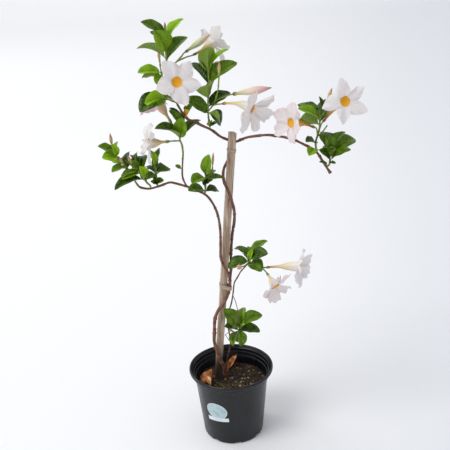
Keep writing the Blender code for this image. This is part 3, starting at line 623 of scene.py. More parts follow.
@dataclass
class TyingFilm(Finish):
    """Stretched raffia-like film: beige, matt and wrinkled along its length."""

    light: str = "#bda992"
    dark: str = "#9c866f"
    wrinkle: float = 1.5

    def dress(self) -> None:
        """Add wrinkles that run round the stake."""
        wrinkles = self.lumps(self.wrinkle, 3, (8, 8, 1))
        lit = self.add(Node.STEP, wrinkles, 0.35, 0.65)
        self.put("Base Color", self.add(Node.MIX, lit, self.dark, self.light))
        self.put("Normal", self.add(Node.BUMP, wrinkles, 0.5 * MM))


@dataclass
class CoatedPaper(Finish):
    """A paper sticker with a thin clear coat, its print only a soft cloud of its own colour."""

    paper: str = "#b4cbd0"
    cloud: str = "#93afb6"
    cloud_size: float = 9.0

    def dress(self) -> None:
        """Add soft clouds of the darker colour, which stand for no picture."""
        clouds = self.add(Node.STEP, self.lumps(self.cloud_size), 0.45, 0.65, 0.0, 0.7)
        self.put("Base Color", self.add(Node.MIX, clouds, self.paper, self.cloud))
        self.put("Coat Weight", 0.15)


@dataclass
class TwinerBark(Finish):
    """Thin bark of a twining stem: red-brown and ringed, green where the stem is young."""

    old: str = "#774531"
    ridge: str = "#9a6e59"
    shade: str = "#3a2318"
    green: str = "#84963a"
    patch: float = 7
    scar: float = 1.1

    def dress(self) -> None:
        """Mix bark and green by the young attribute, with dark patches and fine pale scars."""
        patches, fine = self.lumps(self.patch, 4), self.lumps(self.scar, 4)
        colour = self.add(Node.MIX, self.add(Node.STEP, fine, 0.4, 0.68), self.old, self.ridge)
        colour = self.add(Node.MIX, self.add(Node.STEP, patches, 0.42, 0.68, 0.0, 0.75), colour, self.shade)
        patchy = self.add(Node.STEP, patches, 0.35, 0.65, -0.2, 0.2)
        patchy = self.add(Node.SUM, self.add(Node.KEPT, attribute_name="young"), patchy)
        young = self.add(Node.STEP, patchy, 0.15, 0.85)
        self.put("Base Color", self.add(Node.MIX, young, colour, self.green))
        self.put("Normal", self.add(Node.BUMP, fine, 0.5 * MM))


@dataclass
class LeafCuticle(Finish):
    """A waxy leaf: glossy above with sunk veins and a pale rib, paler and duller beneath."""

    deep: str = "#173801"
    fresh_and_lit: str = "#96c20a"
    vein: str = "#9fb750"
    beneath: str = "#90a850"
    vein_pairs: float = 9.0
    vein_slant: float = 2.2
    mottle: float = 9
    gloss: float = 0.27

    def dress(self) -> None:
        """Draw the rib and the side veins on the blade's own map, and mix in each leaf's tone, which is its
        age and also painted light and shade on whole leaves.
        """
        chart = self.add(Node.CHART)
        off_rib = self.add(Node.SIZE, self.add(Node.LESS, self.add(Node.X, chart), 0.5))
        side = self.add(Node.TIMES, off_rib, 2.0)
        bent = self.add(Node.LESS, self.add(Node.TIMES, self.add(Node.Y, chart), self.vein_pairs),
                   self.add(Node.TIMES, side, self.vein_slant))
        phase = self.add(Node.ZIGZAG, bent, 0.5)
        rib = self.add(Node.STEP, side, 0.02, 0.11, 1.0, 0.0)
        veins = self.add(Node.TIMES, self.add(Node.STEP, phase, 0.0, 0.10, 1.0, 0.0),
                    self.add(Node.STEP, side, 0.55, 0.98, 1.0, 0.0))
        pale = self.add(Node.MOST, self.add(Node.TIMES, veins, 0.22), self.add(Node.TIMES, rib, 0.55))
        under = self.add(Node.KEPT, attribute_name="under")
        mottled = self.add(Node.STEP, self.lumps(self.mottle), 0.3, 0.7, -0.12, 0.12)
        # Painted light and shade: each leaf's tone, besides its age, is set lighter on lit leaves and
        # darker on shaded ones.
        age_and_painted_light = self.add(Node.SUM, self.add(Node.KEPT, attribute_name="tone"), mottled)
        colour = self.add(Node.MIX, age_and_painted_light, self.deep, self.fresh_and_lit)
        colour = self.add(Node.MIX, self.add(Node.TIMES, under, 0.75), colour, self.beneath)
        self.put("Base Color", self.add(Node.MIX, pale, colour, self.vein))
        self.put("Roughness", self.add(Node.SUM, self.add(Node.TIMES, under, 0.22), self.gloss))
        self.put("Specular IOR Level", 0.26)
        self.light_through(0.12, (0.6, 1.0, 0.15), 1.2)
        swell = self.add(Node.LESS, self.add(Node.STEP, phase, 0.0, 0.4), self.add(Node.TIMES, rib, 1.4))
        self.put("Normal", self.add(Node.BUMP, swell, 0.35 * MM, 0.8))


@dataclass
class PetalSkin(Finish):
    """A soft petal or bud: matt, faintly veined from its base, and lit through by what is behind it."""

    glow: float = 0.35
    veins_across: float = 17.0
    veins_along: float = 1.6

    def dress(self) -> None:
        """Take the colour of each point, and draw the fan of fine veins on the piece's own map."""
        drawn = self.add(Node.SCALE, self.add(Node.CHART), (self.veins_across, self.veins_along, 1.0))
        veins = self.add(Node.NOISE, drawn, 1.0, 3.0)
        faint = self.add(Node.STEP, veins, 0.35, 0.65, 0.91, 1.0)
        grey = self.add(Node.GREY, faint, faint, faint)
        tint = self.add(Node.KEPT_COLOUR, attribute_name="tint")
        self.put("Base Color", self.add(Node.SHADE, 1.0, tint, grey))
        self.light_through(self.glow, (1.0, 0.8, 0.7), 2.5)
        self.put("Normal", self.add(Node.BUMP, veins, 0.5 * MM, 0.8))


@dataclass
class CrispLeaf(Finish):
    """A fallen leaf: dry and crinkled, in patches of three browns, darkest in its crinkles."""

    bright: str = "#b8702f"
    pale: str = "#dcae78"
    dark: str = "#743c18"
    patch: float = 11
    crinkle: float = 3

    def dress(self) -> None:
        """Add the patches and the crinkles."""
        patches, crinkles = self.lumps(self.patch, 4), self.lumps(self.crinkle, 4)
        colour = self.add(Node.MIX, self.add(Node.STEP, patches, 0.38, 0.58), self.dark, self.bright)
        colour = self.add(Node.MIX, self.add(Node.STEP, patches, 0.58, 0.74), colour, self.pale)
        colour = self.add(Node.MIX, self.add(Node.STEP, crinkles, 0.56, 0.74, 0.0, 0.5), colour, self.dark)
        self.put("Base Color", colour)
        self.put("Normal", self.add(Node.BUMP, crinkles, 0.9 * MM))


@dataclass
class StudioPaper(Finish):
    """A seamless paper sweep: matt and nearly white, with painted shade that makes it greyer towards its
    right side.
    """

    pale: str = "#f8f8f8"
    shade: str = "#e8e9eb"
    fan_foot: float = 1.6
    least_spread: float = 1.2

    def dress(self) -> None:
        """Paint shade on the paper: let the grey grow to the right in a fan that widens towards the
        backdrop.
        """
        place = self.add(Node.PLACE)
        spread = self.add(Node.SUM, self.add(Node.Y, place), self.fan_foot)
        spread = self.add(Node.MOST, spread, self.least_spread)
        # Painted shade: the paper goes grey to the right, where the light from the left falls off.
        grey = self.add(Node.STEP, self.add(Node.OVER, self.add(Node.X, place), spread), -0.02, 0.34)
        self.put("Base Color", self.add(Node.MIX, grey, self.pale, self.shade))
        self.put("Specular IOR Level", 0.1)


# Blades and petals


@dataclass
class Sheet:
    """A thin closed sheet of two skins over the unit square, which blades and petals are bent from.

    across runs from -1 to 1, along from 0 to 1, and skin is 0 on one skin and 1 on the other.
    """

    name: str
    faces: tuple[int, int]
    mesh: Mesh = field(init=False)
    across: Array = field(init=False)
    along: Array = field(init=False)
    skin: Array = field(init=False)

    def __post_init__(self) -> None:
        """Model the flat sheet once, and note where each of its points is."""
        flat = grid(self.name, *self.faces)
        apply(flat, "SOLIDIFY", thickness=1.0, offset=-1.0)
        self.mesh = flat.data
        bpy.data.objects.remove(flat)
        places = points_of(self.mesh)
        self.across, self.along, self.skin = 2 * places[:, 0] - 1, places[:, 1], np.abs(places[:, 2])

    def bend(self, material: Material, places: Array, **marks: Array) -> Piece:
        """Bend a copy of the sheet into a piece.

        Args:
            material: its finish.
            places: where each point goes.
            marks: what each point keeps for the finish, by name.

        Returns:
            The bent piece.
        """
        mesh = self.mesh.copy()
        set_points(mesh, places)
        for key, values in marks.items():
            mark(mesh, key, values)
        mesh.materials.clear()
        mesh.materials.append(material)
        made = link(self.name, mesh)
        mesh.shade_smooth()
        mesh.set_sharp_from_angle(angle=math.radians(60))
        return made


@dataclass(frozen=True)
class Leaf:
    """One leaf: where it leaves its stem, which way it goes, how big it is, and how it looks.

    back is in millimetres from the stem's tip, and roll in degrees about the leaf's own length. A tone
    of 0 is deep green and 1 yellow-green; the listed tones also paint light and shade, higher on lit
    leaves and lower on shaded ones, and a leaf without one gets it by chance.
    """

    back: float
    heading: float
    lift: float
    length: float
    width: float
    roll: float = 0.0
    tone: float | None = None


@dataclass
class LeafBender:
    """Bends leaves from one flat sheet, each a little different from the next.

    fold is how many degrees each half rises. arch, droop, bulge and swing are shares of a length or
    width, and the powers shape the outline at its base and at its tip.
    """

    material: Material
    sheet: Sheet
    chance: random.Random
    blade: float = 0.45 * MM
    stalk: float = 1.7 * MM
    stalk_share: float = 0.08
    keel: float = 0.6 * MM
    keel_share: float = 0.12
    fold: float = 27
    arch: float = 0.09
    droop: float = 0.05
    bulge: float = 0.10
    waves: float = 16
    wave: Span = (0.2, 0.8)
    swing: float = 0.04
    turn: float = 4
    twist: float = 10
    tones: Span = (0.05, 0.5)
    base_power: float = 0.68
    tip_power: float = 0.68
    breadth: float = 1.24

    def outline(self, along: Array) -> Array:
        """Draw the leaf's half-width: a wedge, a belly and a pointed tip.

        Args:
            along: shares of the leaf's length.

        Returns:
            The half-width at each, as a share of the greatest.
        """
        blade = np.clip((along - self.stalk_share) / (1 - self.stalk_share), 0, 1)
        power, end = self.base_power, self.tip_power
        peak = power / (power + end)
        return blade ** power * (1 - blade) ** end / (peak ** power * (1 - peak) ** end)

    def make(self, base: Array, leaf: Leaf, face: Array, fold: float | None = None,
             arch: float | None = None) -> Piece:
        """Bend one leaf.

        Args:
            base: where its stalk leaves the stem, in metres.
            leaf: the leaf.
            face: the way its upper side looks, about.
            fold: degrees that each half rises, if not the usual.
            arch: rise of its middle as a share of its length, if not the usual.

        Returns:
            The leaf.
        """
        chance = self.chance
        length, width = leaf.length * MM, leaf.width * self.breadth * MM
        way = aim(leaf.heading, leaf.lift)
        up = unit(face - face.dot(way) * way)
        roll = math.radians(leaf.roll + chance.uniform(-self.turn, self.turn))
        up = math.cos(roll) * up + math.sin(roll) * np.cross(way, up)
        rise = math.radians((self.fold if fold is None else fold) * chance.uniform(0.75, 1.2))
        high = (self.arch if arch is None else arch) * chance.uniform(0.8, 1.25)
        droop = self.droop * chance.uniform(0.4, 1.6)
        phase, wave = chance.uniform(0, 6.28), chance.uniform(*self.wave) * MM
        swing = chance.uniform(-self.swing, self.swing)
        twist = math.radians(chance.uniform(-self.twist, self.twist))
        tone = leaf.tone if leaf.tone is not None else chance.uniform(*self.tones)

        across, along = self.sheet.across, self.sheet.along
        spread = np.sign(across) * np.abs(across) ** 1.25
        edge = np.abs(spread)
        outline = self.outline(along)
        blade = np.clip(outline * 4, 0, 1)
        half = np.maximum(width / 2 * outline, self.stalk / 2 * (1 - 0.3 * along) * (along < 0.8))
        fold_here = rise * (1.15 - 0.5 * along) * blade
        bulge = self.bulge * half * np.sin(math.pi * edge) * blade
        ruffle = wave * np.sin(self.waves * along + phase + 1.5 * np.sign(across)) * edge ** 3 * blade
        lift = half * edge * np.sin(fold_here) + bulge + ruffle
        out = half * spread * np.cos(fold_here)
        turn = twist * along * blade
        out, lift = out * np.cos(turn) - lift * np.sin(turn), out * np.sin(turn) + lift * np.cos(turn)
        rib = length * (high * 4 * along * (1 - along) - droop * along ** 4)
        sway = length * swing * np.sin(math.pi * along)
        thick = self.blade + (self.stalk - self.blade) * np.clip(1 - along / self.stalk_share, 0, 1)
        keel = self.keel * np.clip(1 - edge / self.keel_share, 0, 1) * (1 - along) * blade
        depth = self.sheet.skin * (thick + keel)
        places = (base + np.outer(along * length, way) + np.outer(out + sway, np.cross(way, up))
                  + np.outer(rib + lift - depth, up))
        return self.sheet.bend(self.material, places, tone=np.full(len(across), tone),
                               under=self.sheet.skin)


def tube_turn(base: Array, mouth: Array, face: Array) -> Array:
    """Where a bloom's tube, from its base, turns to the way that its mouth looks."""
    return mouth - face * float(np.linalg.norm(mouth - base)) * 0.5


@dataclass(frozen=True)
class Petal:
    """One petal: its angle round the face in degrees, its reach and how far forward its tip lies in mm."""

    angle: float
    reach: float
    forward: float


@dataclass(frozen=True)
class Bloom:
    """One bloom: its tube from base to mouth, the way it looks, its petals and its colours.

    base and mouth are in millimetres. blush is how pink the petals are, from 0 to 1. tube holds the
    colours of the tube's outside from its base to its mouth, and calyx that of the sepals. notch is how
    far out the petals still touch, as a share of their reach, and a low point makes them pointed. eye is
    the golden eye's size, as a share of the usual. petals holds each Petal's values in a row.
    """

    name: str
    base: Place
    mouth: Place
    look: Place
    petals: Route
    blush: float = 0.1
    tube: tuple[str, str, str] = ("#a9a14e", "#ecdba2", "#f3f0e6")
    calyx: str = "#7d8a3e"
    notch: float = 0.64
    point: float = 1.5
    eye: float = 1.0
    stalk_swell: float = 1.5

    def frame(self) -> tuple[Array, Array, Array, Array]:
        """The base and the mouth in metres, the way that the mouth looks, and its upper side."""
        base, mouth, face = np.array(self.base) * MM, np.array(self.mouth) * MM, unit(self.look)
        return base, mouth, face, unit(np.array((0, 0, 1.0)) - face[2] * face)

    def foot(self) -> tuple[Array, Array]:
        """The base in millimetres, and the way that the tube leaves it."""
        base = np.array(self.base)
        return base, unit(tube_turn(base, np.array(self.mouth), unit(self.look)) - base)


@dataclass(frozen=True)
class Bud:
    """One bud: its base and tip, its greatest radius in millimetres, its colours and its sepals' colour."""

    name: str
    base: Place
    tip: Place
    radius: float
    colours: tuple[str, ...]
    calyx: str = "#7f8c3f"
    stalk_swell: float = 1.1

    def foot(self) -> tuple[Array, Array]:
        """The base in millimetres, and the way that the bud points."""
        base = np.array(self.base)
        return base, unit(np.array(self.tip) - base)


@dataclass
class BloomBender:
    """Makes blooms: a curved hollow tube with a golden throat, five slanting petals and five sepals.

    inside lists rings from the mouth down to the golden eye: share of the tube's length, share of the
    throat's radius, and whether the eye's size goes with it.
    """

    skin: Material
    petal_sheet: Sheet
    sepal_sheet: Sheet
    chance: random.Random
    wall: float = 0.5 * MM
    foot_radius: float = 1.7 * MM
    waist_radius: float = 2.9 * MM
    waist_share: float = 0.40
    throat: float = 9.2 * MM
    lobe: float = 0.035
    ruffle: float = 1.6 * MM
    sepal: float = 6 * MM
    sepal_wall: float = 0.45 * MM
    seat: float = 0.8 * MM
    white: str = "#f1eae8"
    pink: str = "#eac4c6"
    eye: str = "#f3b204"
    eye_deep: str = "#d49006"
    sepal_foot: str = "#6f8238"
    sepal_tip: str = "#8a5a34"
    sides: int = 30
    steps: int = 18
    inside: tuple[tuple[float, float, bool], ...] = (
        (1.012, 0.95, False), (0.995, 0.90, True), (0.975, 0.85, True), (0.955, 0.60, True),
        (0.945, 0.30, True), (0.94, 0.12, False))

    def radius(self, share: float) -> float:
        """Draw the tube's outer radius: narrow, then opening like a bell.

        Args:
            share: where, as a share of the tube's length.

        Returns:
            The radius there.
        """
        if share < self.waist_share:
            part = share / self.waist_share
            return self.foot_radius + (self.waist_radius - self.foot_radius) * part ** 1.5
        part = (share - self.waist_share) / (1 - self.waist_share)
        return self.waist_radius + (self.throat - self.waist_radius) * (1 - (1 - part) ** 1.9)

    def tube(self, bloom: Bloom) -> Piece:
        """Loft the tube out to its mouth and close it with the golden eye just inside.

        Args:
            bloom: the bloom.

        Returns:
            The tube.
        """
        base, mouth, face, up = bloom.frame()
        turning = tube_turn(base, mouth, face)
        turn = round_angles(self.sides)
        shares = [index / self.steps for index in range(self.steps + 1)]
        sizes = [(share, self.radius(share)) for share in shares]
        sizes += [(share, self.throat * (breadth * bloom.eye if eye else breadth))
                  for share, breadth, eye in self.inside]
        rings = []
        for share, radius in sizes:
            centre = (1 - share) ** 2 * base + 2 * share * (1 - share) * turning + share ** 2 * mouth
            way = unit((1 - share) * (turning - base) + share * (mouth - turning))
            ring_up = np.array(Vector(face).rotation_difference(Vector(way)) @ Vector(up))
            lobes = 1 + self.lobe * np.cos(5 * turn) * min(1.0, share * 1.6)
            rings.append(centre + np.outer(radius * lobes * np.cos(turn), np.cross(ring_up, way))
                         + np.outer(radius * lobes * np.sin(turn), ring_up))
        stops = [*zip((0.0, 0.28, 0.75), bloom.tube), (1.0, self.white)]
        deep = [linear(colour)[:3] for colour in (self.white, self.eye_deep, *[self.eye] * 4)]
        tints = np.concatenate([blend_stops(np.array(shares), stops), deep])
        return loft(bloom.name + "_tube", np.array(rings), self.skin, tint=tints)

    def petal(self, bloom: Bloom, index: int) -> Piece:
        """Bend one petal: rounded on one side, slanting on the other, and ruffled at its edge.

        Its colour is white, flushed with pink, and golden at the throat.

        Args:
            bloom: the bloom.
            index: which petal, in the order of their angles.

        Returns:
            The petal.
        """
        order = sorted((Petal(*row) for row in bloom.petals), key=lambda one: one.angle % 360)
        last, here, following = order[index - 1], order[index], order[(index + 1) % len(order)]
        ahead = (following.angle - here.angle) % 360 / 2
        behind = (here.angle - last.angle) % 360 / 2
        reach, forward = here.reach * MM, here.forward * MM
        notches = [bloom.notch * min(reach, one.reach * MM) for one in (last, following)]
        chance = self.chance
        curl = chance.uniform(0.5, 3.0) * MM
        twist = chance.uniform(1.2, 2.6) * MM
        phase = chance.uniform(0, 6.28)
        ripple = chance.uniform(1.2, 2.4) * MM
        point = bloom.point * chance.uniform(0.85, 1.2)
        tip_bend = chance.uniform(-2.5, 1.0) * MM

        across, along, skin = self.petal_sheet.across, self.petal_sheet.along, self.petal_sheet.skin
        edge = np.abs(across)
        wide = np.where(across < 0, behind, ahead)
        lap = 1 + np.where(across < 0, 0.12, 0.26) * np.sin(math.pi * along ** 0.8)
        turn = np.radians(here.angle + across * wide * lap)
        slant = across - 0.28 * (1 - across ** 2)
        body = np.clip(1 - np.abs(slant) ** point, 0, 1) ** 0.92
        notch = np.where(across < 0, notches[0], notches[1])
        rim = notch + (reach * 0.95 - notch) * body + reach * 0.05 * np.exp(-(slant / 0.15) ** 2)
        start = self.throat - 0.5 * MM
        out = start + (rim - start) * along
        front = (forward * along ** 1.5 + self.ruffle * np.sin(math.pi * along)
                 + twist * across * along - curl * edge ** 2.4 * along ** 1.5
                 + ripple * np.cos(5.2 * across + phase) * along * (1 - 0.4 * along)
                 + ripple * 0.9 * np.sin(9 * across + 2 * phase) * along ** 5
                 - 0.5 * MM * np.exp(-(across / 0.12) ** 2) * along
                 + tip_bend * along ** 4 + 0.9 * MM * np.sign(across) * edge ** 2)
        front = front + (1 - skin) * self.wall + 0.3 * MM
        _, mouth, face, up = bloom.frame()
        spread = np.outer(np.cos(turn), np.cross(up, face)) + np.outer(np.sin(turn), up)

        white, pink, eye = (np.array(linear(one)[:3]) for one in (self.white, self.pink, self.eye))
        flush = bloom.blush * (0.35 + 0.65 * np.abs(np.sin(2.2 * across + phase)) * along
                               + 0.5 * skin + 0.3 * along ** 3)
        tint = white + np.clip(flush, 0, 1)[:, None] * (pink - white)
        gold = 0.35 * np.clip(1 - along / 0.12, 0, 1)[:, None] * (1 - skin[:, None])
        places = mouth + out[:, None] * spread + np.outer(front, face)
        return self.petal_sheet.bend(self.skin, places, tint=tint + gold * (eye - tint))

    def sepals(self, base: Array, way: Array, radius: float, length: float, colour: str) -> list[Piece]:
        """Bend five narrow sepals that clasp the foot of a tube or a bud.

        Args:
            base: the middle of the foot.
            way: the direction of the tube or bud.
            radius: the foot's radius.
            length: the sepals' length.
            colour: their hex colour.

        Returns:
            The sepals.
        """
        side, other = across_way(way)
        across, along, skin = self.sepal_sheet.across, self.sepal_sheet.along, self.sepal_sheet.skin
        tint = blend_stops(along, [(0.0, self.sepal_foot), (0.5, colour), (1.0, self.sepal_tip)])
        half = radius * 0.8 * (1 - along) ** 0.8
        made = []
        for index in range(5):
            turn = math.tau * (index + self.chance.uniform(-0.1, 0.1)) / 5
            outward = math.cos(turn) * side + math.sin(turn) * other
            long = length * self.chance.uniform(0.8, 1.15)
            splay = self.chance.uniform(0.05, 0.30)
            off = (radius * 0.92 + along * long * splay + (1 - skin) * self.sepal_wall
                   - 0.25 * half * across ** 2)
            places = (base - way * self.seat + np.outer(along * long, way) + np.outer(off, outward)
                      + np.outer(across * half, np.cross(way, outward)))
            made.append(self.sepal_sheet.bend(self.skin, places, tint=tint))
        return made

    def make(self, bloom: Bloom) -> Piece:
        """Make one bloom.

        Args:
            bloom: the bloom.

        Returns:
            The tube, petals and sepals in one piece.
        """
        base, mouth, face, _ = bloom.frame()
        pieces = [self.tube(bloom)]
        pieces += [self.petal(bloom, index) for index in range(len(bloom.petals))]
        way = unit(tube_turn(base, mouth, face) - base)
        pieces += self.sepals(base, way, self.foot_radius, self.sepal, bloom.calyx)
        return join(bloom.name + "_fine", pieces)


@dataclass
class BudRoller:
    """Rolls buds: five petals wound round each other into a spindle with a slanting seam.

    profile lists the radius, as a share of the greatest, at shares of the length.
    """

    skin: Material
    bender: BloomBender
    sides: int = 25
    rings: int = 22
    winding: float = 0.9 * 1.6
    fold: float = 0.13
    sepal: float = 6.0
    profile: tuple[Span, ...] = (
        (0.0, 0.30), (0.10, 0.36), (0.22, 0.52), (0.36, 0.80), (0.48, 0.97), (0.58, 1.0), (0.68, 0.92),
        (0.80, 0.64), (0.90, 0.36), (0.96, 0.20), (1.0, 0.07))

    def make(self, bud: Bud) -> Piece:
        """Roll one bud.

        Args:
            bud: the bud.

        Returns:
            The bud with its sepals.
        """
        base, tip, radius = np.array(bud.base) * MM, np.array(bud.tip) * MM, bud.radius * MM
        way = unit(tip - base)
        side, other = across_way(way)
        shares = np.linspace(0, 1, self.rings)
        breadth = np.interp(shares, *zip(*self.profile))
        turn = round_angles(self.sides)
        seam = (5 * turn[None, :] / math.tau + self.winding * shares[:, None]) % 1.0
        folds = 1 + self.fold * (seam - 0.5) * np.clip(shares[:, None] * 2 - 0.3, 0, 1)
        outward = np.cos(turn)[:, None] * side + np.sin(turn)[:, None] * other
        centre = base + np.outer(shares, tip - base)
        rings = centre[:, None] + (radius * breadth[:, None] * folds)[:, :, None] * outward[None]
        stops = [(index / (len(bud.colours) - 1), colour) for index, colour in enumerate(bud.colours)]
        skin = loft(bud.name + "_skin", rings, self.skin, tint=blend_stops(shares, stops))
        long = min(self.sepal, bud.radius * 1.6) * MM
        sepals = self.bender.sepals(base, way, radius * 0.32, long, bud.calyx)
        return join(bud.name + "_fine", [skin, *sepals])


# Stems and shoots


@dataclass(frozen=True)
class Stem:
    """A green stem: its route in millimetres, and the leaves on it, with each Leaf's values in a row."""

    route: Route
    leaves: tuple[tuple[float, ...], ...] = ()


@dataclass(frozen=True)
class Stalk:
    """A flower stalk: its route, and the bloom or bud that it ends in, if any."""

    route: Route
    goal: str = ""


@dataclass(frozen=True)
class Shoot:
    """A leafy shoot: the way its leaves face, its own stem, side stems and flower stalks."""

    name: str
    face: Place
    stem: Stem
    branches: tuple[Stem, ...] = ()
    stalks: tuple[Stalk, ...] = ()


@dataclass
class ShootGrower:
    """Grows the leafy shoots: jointed green stems, leaves in place, and stalks out to each bloom.

    goals holds the blooms and buds by name.
    """

    bark: Material
    leaves: LeafBender
    goals: dict[str, Bloom | Bud]
    stem_radius: float = 1.7 * MM
    stalk_radius: float = 1.3 * MM
    joint_step: float = 22 * MM
    joint_width: float = 1.8 * MM
    joint: float = 0.28
    leaf_step: float = 16 * MM
    step: float = 3 * MM
    lead: float = 5
    sides: int = 10

    def stem(self, points: Route, radius: float, young: float, swell: float = 1.0) -> Piece:
        """Loft one stem with joints every few centimetres.

        Args:
            points: its route in millimetres.
            radius: its radius.
            young: how green it is, from 0 to 1.
            swell: how much wider its end is.

        Returns:
            The stem.
        """
        route = through(points, self.step)
        share = np.linspace(0, 1, len(route))
        off_joint = run_of(route) % self.joint_step - self.joint_step / 2
        joints = 1 + self.joint * np.exp(-(off_joint / self.joint_width) ** 2)
        radii = radius * joints * (1 - 0.12 * share) * (1 + (swell - 1) * np.clip(share * 6 - 5, 0, 1))
        return loft("stem", stem_rings(route, radii, self.sides, 0.06), self.bark,
                    young=np.full(len(route), young))

    def stalk(self, stalk: Stalk) -> Piece:
        """Loft a flower stalk, whose last few millimetres run straight into its bloom or bud.

        Args:
            stalk: the stalk.

        Returns:
            The stalk.
        """
        points, swell = list(stalk.route), Bud.stalk_swell
        if stalk.goal:
            goal = self.goals[stalk.goal]
            base, way = goal.foot()
            points += [tuple(base - way * self.lead), tuple(base)]
            swell = goal.stalk_swell
        return self.stem(points, self.stalk_radius, 0.9, swell)

    def back_from_tip(self, route: Array, distance: float) -> Array:
        """Find the place that lies a distance back from a route's end.

        Args:
            route: the route's places.
            distance: how far back.

        Returns:
            The place, or the route's start if it is shorter.
        """
        left = distance
        for start, end in zip(route[-2::-1], route[::-1]):
            length = float(np.linalg.norm(end - start))
            if left <= length:
                return end + (start - end) * left / length
            left -= length
        return route[0].copy()

    def grow(self, shoot: Shoot) -> Piece:
        """Grow one shoot.

        Args:
            shoot: the shoot.

        Returns:
            The shoot in one piece.
        """
        face = unit(shoot.face)
        pieces = []
        for stem in (shoot.stem, *shoot.branches):
            pieces.append(self.stem(stem.route, self.stem_radius, 0.85))
            coarse = through(stem.route, self.leaf_step)
            for leaf in (Leaf(*row) for row in stem.leaves):
                base = self.back_from_tip(coarse, max(leaf.back, 1.0) * MM)
                pieces.append(self.leaves.make(base, leaf, face))
        pieces += [self.stalk(stalk) for stalk in shoot.stalks]
        return join(shoot.name + "_fine", pieces)


@dataclass(frozen=True)
class WoodyRoute:
    """A woody stem's route with its radius at both ends in millimetres, and how young it is there."""

    route: Route
    start: float
    end: float
    young: Span = (0.0, 0.0)
    cut: bool = False


@dataclass
class WoodGrower:
    """Grows the woody stems, with swollen joints, ring scars and stubs of lost side shoots.

    first_joint, joint_gap and joint_width are in millimetres, and stub lists the radii of a stub as
    shares of its stem's.
    """

    bark: Material
    chance: random.Random
    sides: int = 14
    step: float = 2.2 * MM
    first_joint: Span = (10, 25)
    joint_gap: Span = (18, 40)
    joint_width: Span = (1.2, 2.2)
    joint: Span = (0.14, 0.34)
    stub_from: int = 9
    stub_every: int = 17
    stub: tuple[float, ...] = (0.5, 0.42, 0.36, 0.30)

    def grow(self, name: str, stems: Sequence[WoodyRoute]) -> Piece:
        """Grow several stems as one piece.

        Args:
            name: the piece's name.
            stems: the stems.

        Returns:
            The joined stems.
        """
        pick = self.chance.uniform
        pieces = []
        for stem in stems:
            route = through(stem.route, self.step)
            share, run = np.linspace(0, 1, len(route)), run_of(route)
            radii = (stem.start + (stem.end - stem.start) * share) * MM
            spot = pick(*self.first_joint) * MM
            while spot < run[-1]:
                wide = pick(*self.joint_width) * MM
                radii = radii * (1 + pick(*self.joint) * np.exp(-((run - spot) / wide) ** 2))
                spot += pick(*self.joint_gap) * MM
            radii = radii * (1 + 0.07 * np.sin(run / (5 * MM) + pick(0, 6)))
            if stem.cut:
                radii = radii * (1 + 0.45 * np.clip((share - 0.965) / 0.035, 0, 1))
            pieces.append(loft("wood", stem_rings(route, radii, self.sides, 0.10), self.bark,
                               young=np.interp(share, (0, 1), stem.young)))
            pieces += self.stubs(route, radii, max(stem.young) * 0.5)
        return join(name, pieces)

    def stubs(self, route: Array, radii: Array, young: float) -> list[Piece]:
        """Add the short stubs where leaves or side shoots have dropped.

        Args:
            route: the places of the stem's middle.
            radii: its radius at each.
            young: how green the stubs are.

        Returns:
            The stubs.
        """
        first, second = across_route(route)
        count = len(self.stub)
        made = []
        for index in range(self.stub_from, len(route) - self.stub_from, self.stub_every):
            turn = self.chance.uniform(0, math.tau)
            outward = math.cos(turn) * first[index] + math.sin(turn) * second[index]
            along = unit(route[index + 1] - route[index])
            start = route[index] + outward * radii[index] * 0.5
            end = start + (outward + 0.8 * along) * radii[index] * self.chance.uniform(0.7, 1.1)
            rings = stem_rings(np.linspace(start, end, count), radii[index] * np.array(self.stub), 7)
            made.append(loft("stub", rings, self.bark, young=np.full(count, young)))
        return made


# The pot and what stands in it


